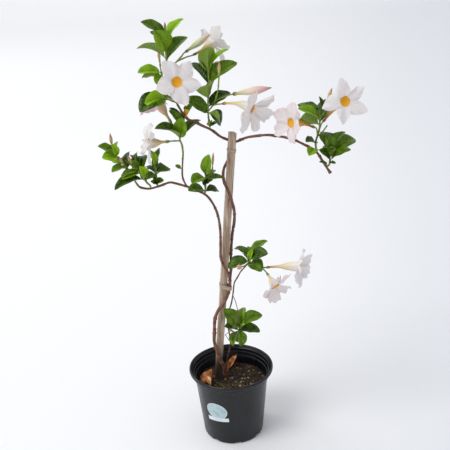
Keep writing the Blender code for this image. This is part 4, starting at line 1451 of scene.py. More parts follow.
@dataclass
class NurseryPot:
    """A 16.5 cm nursery pot: a tapering wall, a stepped collar, a rolled lip and eight drain notches.

    profile lists (radius, height) in millimetres up the outside, over the lip and down the inside.
    notch_size is how deep, wide and high the cutter of a notch is.
    """

    material: Material
    sides: int = 144
    foot: float = 56 * MM
    profile: tuple[Span, ...] = (
        (57.4, 0.5), (58.6, 1.7), (59.2, 3.4), (59.9, 10), (65.5, 65), (71.1, 119), (71.5, 121.2),
        (73.3, 121.9), (73.9, 122.6), (74.2, 127.9), (74.6, 128.7), (76.0, 129.3), (76.5, 130.0),
        (76.8, 135.4), (77.3, 136.1), (80.6, 136.4), (81.7, 136.9), (82.3, 138.0), (82.5, 139.2),
        (82.4, 140.8), (82.0, 142.2), (81.1, 142.9), (79.9, 143.0), (78.9, 142.5), (78.3, 141.4),
        (76.0, 137.2), (75.4, 136.6), (75.0, 131.8), (74.6, 131.1), (73.2, 130.6), (72.8, 130.0),
        (72.4, 124.4), (72.0, 123.8), (70.4, 123.3), (69.9, 122.5), (64.0, 66), (58.5, 11), (56.5, 4.0))
    floor: float = 2.0
    floor_share: float = 0.4
    notches: int = 8
    notch_start: float = -38.4
    notch_size: Place = (13 * MM, 15 * MM, 10 * MM)
    notch_round: float = 3 * MM
    notch_out: float = 1.5 * MM

    def build(self) -> Piece:
        """Draw the wall up from its foot by extruding a circle, close the floor and cut the notches.

        Returns:
            The pot.
        """
        only()
        bpy.ops.mesh.primitive_circle_add(vertices=self.sides, radius=self.foot, fill_type="NGON")
        pot = bpy.context.object
        pot.name = pot.data.name = "pot_fine"
        bpy.ops.object.mode_set(mode="EDIT")
        bpy.ops.mesh.select_all(action="SELECT")
        radius, height = self.foot, 0.0
        for wide, high in (*self.profile, (self.profile[-1][0] * self.floor_share, self.floor)):
            share = wide * MM / radius
            bpy.ops.mesh.extrude_region_move()
            bpy.ops.transform.translate(value=(0, 0, high * MM - height))
            bpy.ops.transform.resize(value=(share, share, 1))
            radius, height = wide * MM, high * MM
        bpy.ops.mesh.select_all(action="SELECT")
        bpy.ops.mesh.normals_make_consistent(inside=False)
        bpy.ops.object.mode_set(mode="OBJECT")
        self.cut_notches(pot)
        pot.data.materials.append(self.material)
        smooth(pot, 32)
        return pot

    def cut_notches(self, pot: Piece) -> None:
        """Cut the rounded drain notches out of the foot.

        Args:
            pot: the pot.
        """
        cutters = []
        for index in range(self.notches):
            turn = math.radians(self.notch_start + 360 * index / self.notches)
            only(pot)
            bpy.ops.mesh.primitive_cube_add(size=1)
            cutter = bpy.context.object
            cutter.scale = self.notch_size
            bpy.ops.object.transform_apply(location=False, rotation=False, scale=True)
            apply(cutter, "BEVEL", width=self.notch_round, segments=4, affect="EDGES")
            out = Matrix.Translation((self.foot + self.notch_out, 0, 0))
            cutter.data.transform(Matrix.Rotation(turn, 4, "Z") @ out)
            cutters.append(cutter)
        cutter = join("notches", cutters)
        apply(pot, "BOOLEAN", operation="DIFFERENCE", object=cutter, solver="EXACT")
        bpy.data.objects.remove(cutter)


@dataclass
class Soil:
    """The top of the root ball and what lies on it: crumbs, fibres, bark, grit and a little moss.

    bumps lists the height and size of the top's unevenness in millimetres, with a shift that gives each
    its own pattern. moss lists the least and greatest x, and the greatest y, of the mossy patch.
    """

    peat: Material
    litter: dict[str, Material]
    chance: random.Random
    top: float = 108 * MM
    reach: float = 68.2 * MM
    foot: float = 54 * MM
    bumps: tuple[Place, ...] = ((2.2, 16, 0), (1.1, 5, 0.01), (0.7, 1.9, 0.02))
    rings: int = 46
    sides: int = 132
    fibre_count: int = 230
    fibre_length: Span = (5, 17)
    fibre_radius: Span = (0.18, 0.5)
    fibre_lift: Span = (0.2, 1.5)
    moss: Place = (-52 * MM, 45 * MM, -10 * MM)

    def height(self, x: float, y: float) -> float:
        """Find the soil's height at a place: its broad bumps, with finer ones on them.

        Args:
            x: the place across.
            y: the place in depth.

        Returns:
            The height.
        """
        return sum((high * MM * noise.noise(Vector((x, y, shift)) / (size * MM))
                    for high, size, shift in self.bumps), self.top)

    def ground(self) -> Piece:
        """Loft the root ball: a closed plug whose top is crumbly.

        Returns:
            The root ball.
        """
        turn = round_angles(self.sides)
        circle = np.stack([np.cos(turn), np.sin(turn), np.zeros(self.sides)], axis=1)
        rings = [circle * self.foot + (0, 0, 2.5 * MM), circle * (self.foot + 3 * MM) + (0, 0, 12 * MM)]
        for share in np.linspace(1, 0.01, self.rings):
            ring = circle * self.reach * share
            ring[:, 2] = [self.height(x, y) for x, y, _ in ring]
            rings.append(ring)
        return loft("soil_fine", np.array(rings), self.peat)

    def spot(self, low: float = 0.0, high: float = 0.95) -> Span:
        """Pick a random place on the soil.

        Args:
            low: the least share of its radius.
            high: the greatest.

        Returns:
            The place's x and y.
        """
        radius = self.reach * math.sqrt(self.chance.uniform(low ** 2, high ** 2))
        turn = self.chance.uniform(0, math.tau)
        return radius * math.cos(turn), radius * math.sin(turn)

    def mossy_spot(self) -> Span:
        """Pick a random place in the mossy patch at the front of the soil.

        Returns:
            The place's x and y.
        """
        left, right, back = self.moss
        while True:
            x, y = self.spot(0.25, 0.97)
            if y < back and left < x < right:
                return x, y

    def fibres(self) -> Piece:
        """Lay thin bent fibres on the soil.

        Returns:
            The fibres in one piece.
        """
        pick = self.chance.uniform
        made = []
        for _ in range(self.fibre_count):
            x, y = self.spot()
            heading, long, bow = pick(0, math.tau), pick(*self.fibre_length) * MM, pick(-0.3, 0.3)
            line = []
            for share in (step / 5 - 0.5 for step in range(6)):
                px = x + long * (share * math.cos(heading) - bow * share ** 2 * math.sin(heading))
                py = y + long * (share * math.sin(heading) + bow * share ** 2 * math.cos(heading))
                if math.hypot(px, py) > self.reach * 0.97:
                    break
                line.append((px, py, self.height(px, py) + pick(*self.fibre_lift) * MM))
            if len(line) < 4:
                continue
            radii = np.full(len(line), pick(*self.fibre_radius) * MM)
            made.append(loft("fibres", stem_rings(np.array(line), radii, 4), self.litter["fibre"],
                             tone=np.full(len(line), pick(0, 1))))
        return join("soil_fibres", made)

    def crumbs(self, kind: str, count: int, sizes: Span, flat: float,
               where: Callable[[], Span] | None = None) -> Piece:
        """Scatter small broken lumps that are half sunk in the soil.

        Args:
            kind: which litter finish they wear.
            count: how many there are.
            sizes: the least and greatest length in millimetres.
            flat: their height as a share of their width.
            where: gives a place for each; anywhere on the soil if left out.

        Returns:
            The lumps in one piece.
        """
        pick = self.chance.uniform
        only()
        bpy.ops.mesh.primitive_ico_sphere_add(subdivisions=2, radius=0.5)
        pattern = bpy.context.object
        shapes = []
        for variant in range(5):
            mesh = pattern.data.copy()
            places = points_of(mesh)
            set_points(mesh, places * (1 + 0.55 * rough(places, 0.55, 7.3 * variant + count))[:, None])
            shapes.append(mesh)
        bpy.data.objects.remove(pattern)
        made = []
        for index in range(count):
            x, y = (where or self.spot)()
            long = pick(*sizes) * MM
            wide = long * pick(0.35, 0.9)
            mesh = shapes[index % len(shapes)].copy()
            lean = Matrix.Rotation(pick(-0.5, 0.5), 4, "X")
            turn = Matrix.Rotation(pick(0, math.tau), 4, "Z")
            size = Matrix.Diagonal((long, wide, wide * flat, 1))
            home = Matrix.Translation((x, y, self.height(x, y) + wide * flat * 0.2))
            mesh.transform(home @ turn @ lean @ size)
            mark(mesh, "tone", np.full(len(mesh.vertices), pick(0, 1)))
            mesh.materials.append(self.litter[kind])
            made.append(link("soil_" + kind, mesh))
        whole = join("soil_" + kind, made)
        smooth(whole, 35)
        return whole

    def build(self) -> Piece:
        """Lay the soil and everything on it.

        Returns:
            All of it in one piece.
        """
        return join("soil_fine", [
            self.ground(), self.fibres(), self.crumbs("bark", 190, (2.5, 9), 0.5),
            self.crumbs("grit", 46, (1.2, 3.4), 0.8), self.crumbs("straw", 70, (3, 8), 0.25),
            self.crumbs("moss", 240, (1.2, 3.6), 1.0, self.mossy_spot)])


@dataclass
class Stake:
    """The square stake: sawn faces with raised grain, worn edges and a split, uneven top.

    foot and top are the ends of its middle line in millimetres, and turn is its own turn in degrees.
    """

    material: Material
    foot: Place = (-37, 9.5, 12)
    top: Place = (23, 0, 610)
    width: float = 12.8 * MM
    turn: float = 8
    edge: float = 0.8 * MM
    fine_grain: float = 0.22 * MM
    broad_grain: float = 0.30 * MM
    chip: float = 5 * MM
    chips_from: float = 0.985
    rings: int = 150
    per_side: int = 9

    def line(self) -> tuple[Array, Array, Array]:
        """The stake's foot and top in metres, and the way from one to the other."""
        foot, top = np.array(self.foot) * MM, np.array(self.top) * MM
        return foot, top, unit(top - foot)

    def square(self) -> Array:
        """Draw the outline of the stake's section, with its corners worn round.

        Returns:
            The places of its points, two coordinates each.
        """
        half, inner = self.width / 2, self.width / 2 - self.edge
        line = np.linspace(-inner, inner, self.per_side)
        side = np.stack([line, np.full(self.per_side, -half)], axis=1)
        corners = []
        for quarter in range(4):
            angle = quarter * math.pi / 2
            spin = np.array([[math.cos(angle), -math.sin(angle)], [math.sin(angle), math.cos(angle)]])
            corners.append(side @ spin.T)
        return np.concatenate(corners)

    def build(self) -> Piece:
        """Loft the stake from foot to top.

        Returns:
            The stake.
        """
        foot, top, way = self.line()
        lean = Vector((0, 0, 1)).rotation_difference(Vector(way)).to_matrix()
        lean = np.array(lean @ Matrix.Rotation(math.radians(self.turn), 3, "Z"))
        section = self.square()
        length = float(np.linalg.norm(top - foot))
        rings = []
        for share in np.linspace(0, 1, self.rings):
            flat = np.concatenate([section, np.zeros((len(section), 1))], axis=1)
            probe = flat + (0, 0, share * length / 22)
            grain = self.fine_grain * rough(probe, 1.5 * MM) + self.broad_grain * rough(probe, 6 * MM, 3.1)
            flat[:, :2] *= (1 + grain / (self.width / 2))[:, None] * (1 - 0.012)
            if share > self.chips_from:
                chipped = np.clip(rough(flat[:, :3] + 0.2, 4 * MM, 9.0), 0, 1)
                flat[:, 2] -= self.chip * chipped * (share - self.chips_from) / (1 - self.chips_from)
            rings.append(foot + way * share * length + flat @ lean.T)
        stake = loft("stake_fine", np.array(rings), self.material)
        smooth(stake, 45)
        return stake


@dataclass
class Tie:
    """A film tie wound tight round the stake and the stem beside it in a few uneven turns."""

    material: Material
    stake: Stake
    chance: random.Random
    stem_radius: float = 3.1 * MM
    clearance: float = 0.3 * MM
    thickness: float = 0.7 * MM
    wobble: float = 0.35 * MM
    step: float = 2 * MM
    sides: int = 72
    section: int = 12

    def outline(self, middle: Array, height: float, stem: Route, right: Array,
                back: Array) -> tuple[Array, Array]:
        """Draw the line of a tight band round the stake and the stem.

        Args:
            middle: the band's middle.
            height: its height.
            stem: the stem's route beside the stake.
            right: the way across the stake to its right.
            back: the way across it to its back.

        Returns:
            The line's places, and the way out from it at each.
        """
        way = self.stake.line()[2]
        corners = self.stake.square() @ np.array(Matrix.Rotation(math.radians(-self.stake.turn), 2))
        held = [(x, y, self.clearance) for x, y in corners]
        for place in through(stem, self.step):
            off = place - middle
            if abs(off.dot(way)) < height / 2 + self.step:
                held.append((off.dot(right), off.dot(back), self.stem_radius + self.clearance))
        held = np.array(held)
        turn = round_angles(self.sides)
        out = np.stack([np.cos(turn), np.sin(turn)], axis=1)
        onward = np.stack([-out[:, 1], out[:, 0]], axis=1)
        support = (held[:, :2] @ out.T + held[:, 2:]).max(0)
        slope = (np.roll(support, -1) - np.roll(support, 1)) / (2 * math.tau / self.sides)
        return out * support[:, None] + onward * slope[:, None], out

    def build(self, name: str, level: float, height: float, stem: Route, turns: int) -> Piece:
        """Wind the tie.

        Args:
            name: the piece's name.
            level: height of the band's middle above the table in millimetres.
            height: the band's own height in millimetres.
            stem: the stem's route beside the stake.
            turns: how many turns of film show.

        Returns:
            The tie.
        """
        foot, _, way = self.stake.line()
        middle = foot + way * (level * MM - foot[2]) / way[2]
        lean = Vector((0, 0, 1)).rotation_difference(Vector(way))
        right, back = np.array(lean @ Vector((1, 0, 0))), np.array(lean @ Vector((0, 1, 0)))
        line, out = self.outline(middle, height * MM, stem, right, back)
        turn = round_angles(self.sides)
        pieces = []
        for index in range(turns):
            shift = (index + 0.5) / turns - 0.5
            tall = height / turns * MM * self.chance.uniform(1.0, 1.25)
            tilt = self.chance.uniform(-0.6, 0.6) * MM
            wave = self.wobble * np.sin(3 * turn + 2 * index) + tilt * np.cos(turn)
            rings = []
            for around in (math.tau * step / self.section for step in range(self.section)):
                thick = self.thickness / 2 * (1 + 0.9 * math.cos(around) * (1 + 0.2 * index))
                high = tall / 2 * math.copysign(abs(math.sin(around)) ** 0.6, math.sin(around))
                flat = line + out * thick
                rings.append(middle + np.outer(flat[:, 0], right) + np.outer(flat[:, 1], back)
                             + np.outer(shift * height * MM + high + wave, way))
            pieces.append(loft(name, np.array(rings), self.material, closed=True))
        return join(name, pieces)


@dataclass
class Label:
    """A plain sticker on the pot's wall: a pale oval with a white edge over a white strip.

    The wall's radius is given at two heights. angle, tilt and strip_turn are in degrees, and oval holds
    the oval's half-width and half-height.
    """

    paper: Material
    white: Material
    angle: float = -119
    middle: float = 78 * MM
    tilt: float = -2
    oval: Span = (22 * MM, 18.5 * MM)
    strip: Span = (46 * MM, 8.5 * MM)
    strip_drop: float = 23.5 * MM
    strip_turn: float = 7
    thickness: float = 0.35 * MM
    edge: float = 0.9 * MM
    clearance: float = 0.3 * MM
    low_wall: Span = (59.9 * MM, 10 * MM)
    high_wall: Span = (71.3 * MM, 121 * MM)

    def wall_radius(self, height: float | Array) -> float | Array:
        """Outer radius of the pot's wall at a height."""
        (low, foot), (high, top) = self.low_wall, self.high_wall
        return low + (high - low) * (height - foot) / (top - foot)

    def stick(self, sheet: Piece, x: Array, y: Array, lift: float, material: Material,
              turned: float = 0.0) -> Piece:
        """Give a flat sheet its thickness and bend it round the pot's wall.

        Args:
            sheet: the sheet.
            x: where its points go, to the right of the label's middle.
            y: where they go, above it.
            lift: how far off the wall it is.
            material: its finish.
            turned: how many degrees it is turned, more than the label.

        Returns:
            The sheet in its place.
        """
        set_points(sheet.data, np.stack([x, y, np.zeros(len(x))], axis=1))
        apply(sheet, "SOLIDIFY", thickness=self.thickness, offset=1.0)
        spin = math.radians(self.tilt + turned)
        places = points_of(sheet.data)
        x = places[:, 0] * math.cos(spin) - places[:, 1] * math.sin(spin)
        height = self.middle + (places[:, 0] * math.sin(spin) + places[:, 1] * math.cos(spin))
        turn = math.radians(self.angle) + x / self.wall_radius(self.middle)
        radius = self.wall_radius(height) + self.clearance + lift + places[:, 2]
        set_points(sheet.data, np.stack([radius * np.cos(turn), radius * np.sin(turn), height], axis=1))
        sheet.data.materials.append(material)
        smooth(sheet, 40)
        return sheet

    def build(self) -> Piece:
        """Make the oval and the strip and wrap both round the pot.

        Returns:
            The sticker.
        """
        pieces = []
        for name, shrink, lift, material in (("oval_edge", 0.0, 0.0, self.white),
                                             ("oval", self.edge, 0.12 * MM, self.paper)):
            disc = grid(name, 28, 28)
            x, y = (2 * points_of(disc.data)[:, :2] - 1).T
            pieces.append(self.stick(disc, x * np.sqrt(1 - y ** 2 / 2) * (self.oval[0] - shrink),
                                     y * np.sqrt(1 - x ** 2 / 2) * (self.oval[1] - shrink), lift,
                                     material))
        strip = grid("strip", 24, 6)
        x, y = points_of(strip.data)[:, :2].T
        pieces.append(self.stick(strip, (x - 0.5) * self.strip[0], y * self.strip[1] - self.strip_drop,
                                 0.2 * MM, self.white, self.strip_turn))
        return join("label_fine", pieces)


@dataclass(frozen=True)
class Lamp:
    """A soft light: where it hangs, what it points at, its power and its size.

    A near one is a square of so many metres, with its power in watts. A far one is even over the whole
    floor: its size is how wide it looks in degrees, and its power is for each square metre.
    """

    name: str
    place: Place
    target: Place
    power: float
    size: float
    far: bool = False

    def hang(self) -> None:
        """Put the lamp in its place and turn it to its target."""
        data = bpy.data.lights.new(self.name, "SUN" if self.far else "AREA")
        data.energy = self.power
        if self.far:
            data.angle = math.radians(self.size)
        else:
            data.shape, data.size = "SQUARE", self.size
        lamp = link(self.name, data)
        lamp.location = self.place
        lamp.rotation_euler = (Vector(self.target) - Vector(self.place)).to_track_quat("-Z", "Y").to_euler()


@dataclass
class Studio:
    """The plain pale sweep, the soft lights and the camera at the photograph's viewing angle."""

    paper: Material
    camera_place: Place = (0.002, -1.193, 0.892)
    camera_down: float = 20.8
    camera_roll: float = -2.87
    lens: float = 56.0
    sensor: float = 36.0
    sheet_width: float = 26.0
    sheet_length: float = 36.0
    sheet_front: float = -13.0
    bend_start: float = 12.0
    bend_radius: float = 4.0
    sky: str = "#f3f6fd"
    sky_strength: float = 0.61
    lamps: tuple[Lamp, ...] = (
        Lamp("key_light", (-1.3, -0.9, 2.6), (0, 0, 0.4), 1.12, 30, far=True),
        Lamp("side_light", (-1.8, -0.7, 1.4), (0, 0, 0.5), 4, 1.0),
        Lamp("wide_light", (-5.0, 3.0, 4.5), (-1.0, 6.0, 1.0), 110, 3.0),
        Lamp("back_light", (-0.6, 1.4, 2.4), (0, 0.2, 0.5), 5, 1.4))

    def sweep(self) -> None:
        """Bend a sheet of paper from the floor up into the backdrop."""
        sweep = grid("paper_sweep", 4, 48)
        across, along = points_of(sweep.data)[:, :2].T
        run = along * self.sheet_length + self.sheet_front
        turn = np.clip((run - self.bend_start) / self.bend_radius, 0, math.pi / 2)
        past = np.clip(run - self.bend_start - self.bend_radius * math.pi / 2, 0, None)
        y = np.minimum(run, self.bend_start) + self.bend_radius * np.sin(turn)
        z = self.bend_radius * (1 - np.cos(turn)) + past
        set_points(sweep.data, np.stack([(across - 0.5) * self.sheet_width, y, z], axis=1))
        sweep.data.materials.append(self.paper)
        smooth(sweep)

    def camera(self) -> None:
        """Stand the camera where the photograph was taken from."""
        down, roll = math.radians(self.camera_down), math.radians(self.camera_roll)
        forward = Vector((0, math.cos(down), -math.sin(down)))
        upright = Vector((0, math.sin(down), math.cos(down)))
        right = math.cos(roll) * Vector((1, 0, 0)) + math.sin(roll) * upright
        up = -math.sin(roll) * Vector((1, 0, 0)) + math.cos(roll) * upright
        data = bpy.data.cameras.new("camera")
        data.lens, data.sensor_width = self.lens, self.sensor
        eye = link("camera", data)
        turn = Matrix((right, up, -forward)).transposed().to_4x4()
        eye.matrix_world = Matrix.Translation(self.camera_place) @ turn
        bpy.context.scene.camera = eye

    def build(self) -> None:
        """Set up the sweep, the lights, the surrounding light and the camera."""
        self.sweep()
        for lamp in self.lamps:
            lamp.hang()
        world = bpy.data.worlds.new("studio")
        world.use_nodes = True
        world.node_tree.nodes["Background"].inputs["Color"].default_value = linear(self.sky)
        world.node_tree.nodes["Background"].inputs["Strength"].default_value = self.sky_strength
        bpy.context.scene.world = world
        bpy.context.scene.view_settings.view_transform = "Standard"
        self.camera()


@dataclass
class LooseLeaves:
    """Leaves by themselves: small ones on the woody stems and dry ones fallen on the soil."""

    bender: LeafBender
    gap: float = 0.6 * MM
    face: Place = (0, -0.6, 0.8)
    dent: float = 9 * MM
    fine_dent: float = 3.5 * MM
    whole_base: float = 6 * MM

    def on_stem(self, name: str, foot: Place, stem_radius: float, leaf: Leaf) -> Piece:
        """Bend a leaf that stands on a woody stem.

        Args:
            name: the leaf's name.
            foot: the place on the stem's middle, in millimetres.
            stem_radius: the stem's radius there, in millimetres.
            leaf: the leaf.

        Returns:
            The leaf.
        """
        base = np.array(foot) * MM + aim(leaf.heading, leaf.lift) * (stem_radius * MM + self.gap)
        return join(name + "_fine", [self.bender.make(base, leaf, unit(self.face))])

    def fallen(self, name: str, base: Place, leaf: Leaf, face: Place, fold: float, arch: float,
               crumple: float) -> Piece:
        """Bend a dry leaf and crumple it.

        Args:
            name: the leaf's name.
            base: its stalk's end, in millimetres.
            leaf: the leaf.
            face: the way it looks.
            fold: degrees that each half rises.
            arch: rise of its middle, as a share of its length.
            crumple: how deep its dents are, in millimetres.

        Returns:
            The leaf.
        """
        made = self.bender.make(np.array(base) * MM, leaf, unit(face), fold, arch)
        places = points_of(made.data)
        dents = np.stack([rough(places, self.dent, seed) for seed in (0.0, 4.7, 9.1)], axis=1)
        fine = np.stack([rough(places, self.fine_dent, seed) for seed in (2.0, 6.7, 8.1)], axis=1)
        share = np.clip(np.linalg.norm(places - places[0], axis=1) / self.whole_base, 0, 1)
        set_points(made.data, places + (dents + 0.35 * fine) * crumple * MM * share[:, None])
        return join(name + "_fine", [made])


# The plant's own places: woody stems, low stem, shoots, blooms and buds

TRUNK = (
    (-10, 11, 96), (-11, 9, 108), (-12, 6, 117), (-14, -1, 138), (-20, -6, 159), (-26, -6, 182),
    (-30, -4, 200), (-29, -3, 216), (-28, -3, 233), (-26, -4, 250), (-19, -7, 269), (-8, -8, 283),
    (0, -6, 299), (5, -4, 315), (6, -4, 330))
LEFT_BRANCH = (
    (6, -4, 330), (3, -8, 347), (-5, -9, 364), (-9, -8, 381), (-8, -7, 402), (-7, -7, 425), (-8, -8, 448),
    (-11, -9, 466), (-18, -12, 486), (-28, -15, 502), (-40, -18, 511), (-59, -20, 521), (-81, -20, 529),
    (-92, -20, 531), (-106, -22, 527), (-125, -24, 523), (-137, -26, 525), (-144, -28, 529),
    (-148, -30, 536))
RISER = ((-59, -20, 521), (-64, -19, 527), (-68, -18, 542), (-66, -18, 566), (-64, -18, 582))
TWINER = (
    (6, -4, 330), (9, 2, 350), (10, 10, 372), (12, 13, 394), (15, 11, 419), (19, 4, 442), (20, -5, 464),
    (17, -10, 485), (11, -12, 506), (5, -9, 521), (3, -2, 532), (5, 8, 543), (11, 13, 553), (19, 15, 567),
    (23, 13, 580), (23, 13, 590))
TOP_LEFT_BRANCH = (
    (23, 13, 590), (17, 13, 593), (8, 9, 598), (0, 4, 604), (-13, 0, 616), (-30, -4, 626), (-41, -8, 634),
    (-52, -10, 639), (-59, -12, 648), (-64, -12, 657), (-68, -12, 665))
RIGHT_BRANCH = (
    (23, 13, 590), (31, 11, 591), (38, 6, 595), (49, 0, 600), (64, -6, 603), (84, -12, 605),
    (106, -16, 602), (126, -20, 597), (144, -22, 588), (161, -24, 578), (170, -24, 568), (175, -24, 559),
    (183, -24, 546), (190, -24, 535))
LOW_STEM = (
    (-9, 50, 96), (-8, 48, 110), (-7, 46, 127), (-3, 40, 149), (1, 34, 171), (0, 28, 197), (-3, 22, 227),
    (1, 17, 252), (7, 12, 274), (11, 8, 297), (14, 2, 320), (20, -4, 334), (27, -8, 348), (35, -12, 359),
    (41, -14, 366))
TENDRIL = (
    (10, 9, 292), (15, -12, 286), (18, -30, 272), (13, -37, 256), (3, -35, 240), (-7, -16, 221),
    (-6, 8, 203), (0, 33, 177))
WOODY_STEMS = (
    WoodyRoute(TRUNK, 3.5, 3.0), WoodyRoute(LEFT_BRANCH, 2.5, 1.9, (0.0, 0.15)),
    WoodyRoute(RISER, 1.7, 1.4, (0.0, 0.45)), WoodyRoute(TWINER, 2.8, 2.5),
    WoodyRoute(TOP_LEFT_BRANCH, 2.4, 2.1, (0.0, 0.2)),
    WoodyRoute(RIGHT_BRANCH, 2.4, 2.1, (0.0, 0.1), cut=True))
LOW_STEMS = (WoodyRoute(LOW_STEM, 1.5, 1.3, (0.0, 0.2)), WoodyRoute(TENDRIL, 0.7, 0.6))
PINK_BLOOMS = ("bloom_right_pink", "bloom_low_front", "bloom_behind_left")
BLOOMS = (
    Bloom("bloom_front_left", (-67, -11, 703), (-64, -55, 710), (0.06, -0.98, 0.16),
        ((44, 40, 3), (111, 40, 3), (185, 35, 2), (282, 41, 0), (340, 40, 3)),
        blush=0.12, tube=("#a8a24c", "#e6d9a0", "#ebe6da")),
    Bloom("bloom_top", (-36, 20, 743), (-3, 38, 757), (0.76, 0.52, 0.38),
        ((40, 33, 2), (110, 32, 12), (188, 34, 8), (250, 35, 5), (320, 30, 0)),
        blush=0.03, tube=("#b98a3a", "#e6b44a", "#e2d3a8"), notch=0.74, point=1.8),
    Bloom("bloom_side", (9, -22, 665), (57, -38, 657), (0.78, -0.45, -0.43),
        ((40, 41, 17), (115, 38, 0), (250, 45, 3), (288, 44, 16), (341, 36, 24)),
        blush=0.04, tube=("#d9aa3c", "#ecd79a", "#efe8d8"), calyx="#c4552a", eye=0.75, notch=0.75,
        point=1.8),
    Bloom("bloom_right_pink", (160, -35, 620), (119, -55, 634), (-0.8, -0.59, 0.08),
        ((66, 36, 4), (147, 35, 10), (214, 33, 14), (283, 36, 5), (347, 33, 10)),
        blush=0.42, tube=("#7d4a2c", "#cf8a1e", "#e4b04c"), eye=0.85, notch=0.72),
    Bloom("bloom_right_white", (177, -28, 628), (209, -50, 664), (0.25, -0.93, 0.27),
        ((26, 41, 5), (82, 40, 2), (182, 41, -6), (246, 39, 4), (322, 43, 4)),
        blush=0.02, tube=("#b8502a", "#dd9a2c", "#ecc878"), calyx="#a8482a", notch=0.52, point=1.15),
    Bloom("bloom_low_front", (75, -31, 351), (87, -57, 338), (0.42, -0.66, -0.62),
        ((45, 37, -4), (108, 34, -3), (165, 34, 7), (262, 32, 17), (330, 35, 11)),
        blush=0.30, tube=("#9a9a44", "#e6d284", "#ecdcc8"), notch=0.70),
    Bloom("bloom_low_side", (75, -24, 361), (131, -34, 364), (0.93, -0.35, 0.05),
        ((78, 38, 11), (10, 34, 18), (148, 33, 12), (250, 40, 5), (312, 36, 13)),
        blush=0.06, tube=("#d08a34", "#ecd090", "#efe6cc"), calyx="#5f7a30", notch=0.74),
    Bloom("bloom_behind_left", (-82, -2, 634), (-101, 11, 664), (-0.5, 0.35, 0.79),
        ((10, 35, 4), (82, 36, 4), (154, 42, 4), (226, 43, 2), (298, 38, 4)),
        blush=0.9, tube=("#a8a050", "#dcc27a", "#eec4b4")),
    Bloom("bloom_left_edge", (-86.5, -26, 606), (-119, -31, 606), (-0.95, -0.3, 0.05),
        ((65, 38, 0), (138, 38, 2), (5, 36, 10), (208, 36, 8), (278, 39, 2)),
        blush=0.05, tube=("#a08a3e", "#dab878", "#e8d2ac")))
OLIVE_TO_TAN = ("#86a03c", "#c0b468", "#c89c78", "#96664c")
BUDS = (
    Bud("bud_top", (-49, 15, 749), (-7, 15, 775), 5.8,
        ("#8fa04c", "#cbd597", "#dcdfb2", "#e2cdb0", "#d9a190")),
    Bud("bud_pink", (27, -16, 679), (91, -24, 688), 7,
        ("#a9ab4e", "#e0d8a0", "#f2e6d0", "#f2d2c8", "#eab8ba", "#b47c6c"), calyx="#a4502c"),
    Bud("bud_upright", (4, -27, 709), (6, -27, 737), 2.6,
        ("#7f9a3a", "#a8b458", "#ccb880", "#cfa07c", "#a87656")),
    Bud("bud_shoot_tip", (-80.6, 2, 785), (-80, 2, 800), 2, ("#7f9640", "#9aa05a", "#ae8e64", "#94704e")),
    Bud("bud_side_shoot", (-92, -16, 739), (-93, -16, 755), 2.6,
        ("#86a03c", "#bcae68", "#c49c78", "#96664c")),
    Bud("bud_right", (182, -30, 660), (191, -30, 684), 3, ("#8fa040", "#dccb80", "#d8b888", "#b08060")),
    Bud("bud_left_tip", (-182.6, -31, 601.5), (-184, -32, 627), 2.8, OLIVE_TO_TAN),
    Bud("bud_left_fore", (-164, -38, 569), (-173, -40, 589), 2.5, OLIVE_TO_TAN),
    Bud("bud_left_hind", (-150, -40, 567), (-157, -42, 591), 2.5,
        ("#86a03c", "#bcae68", "#c09878", "#96664c")),
    Bud("bud_low_left", (-15, -19, 552), (-12, -19, 581), 2.3, OLIVE_TO_TAN),
    Bud("bud_round", (27, -28, 366.5), (21.5, -46, 373.5), 4.6,
        ("#b49a5c", "#e0b49c", "#e8b8a8", "#d89a8c")))
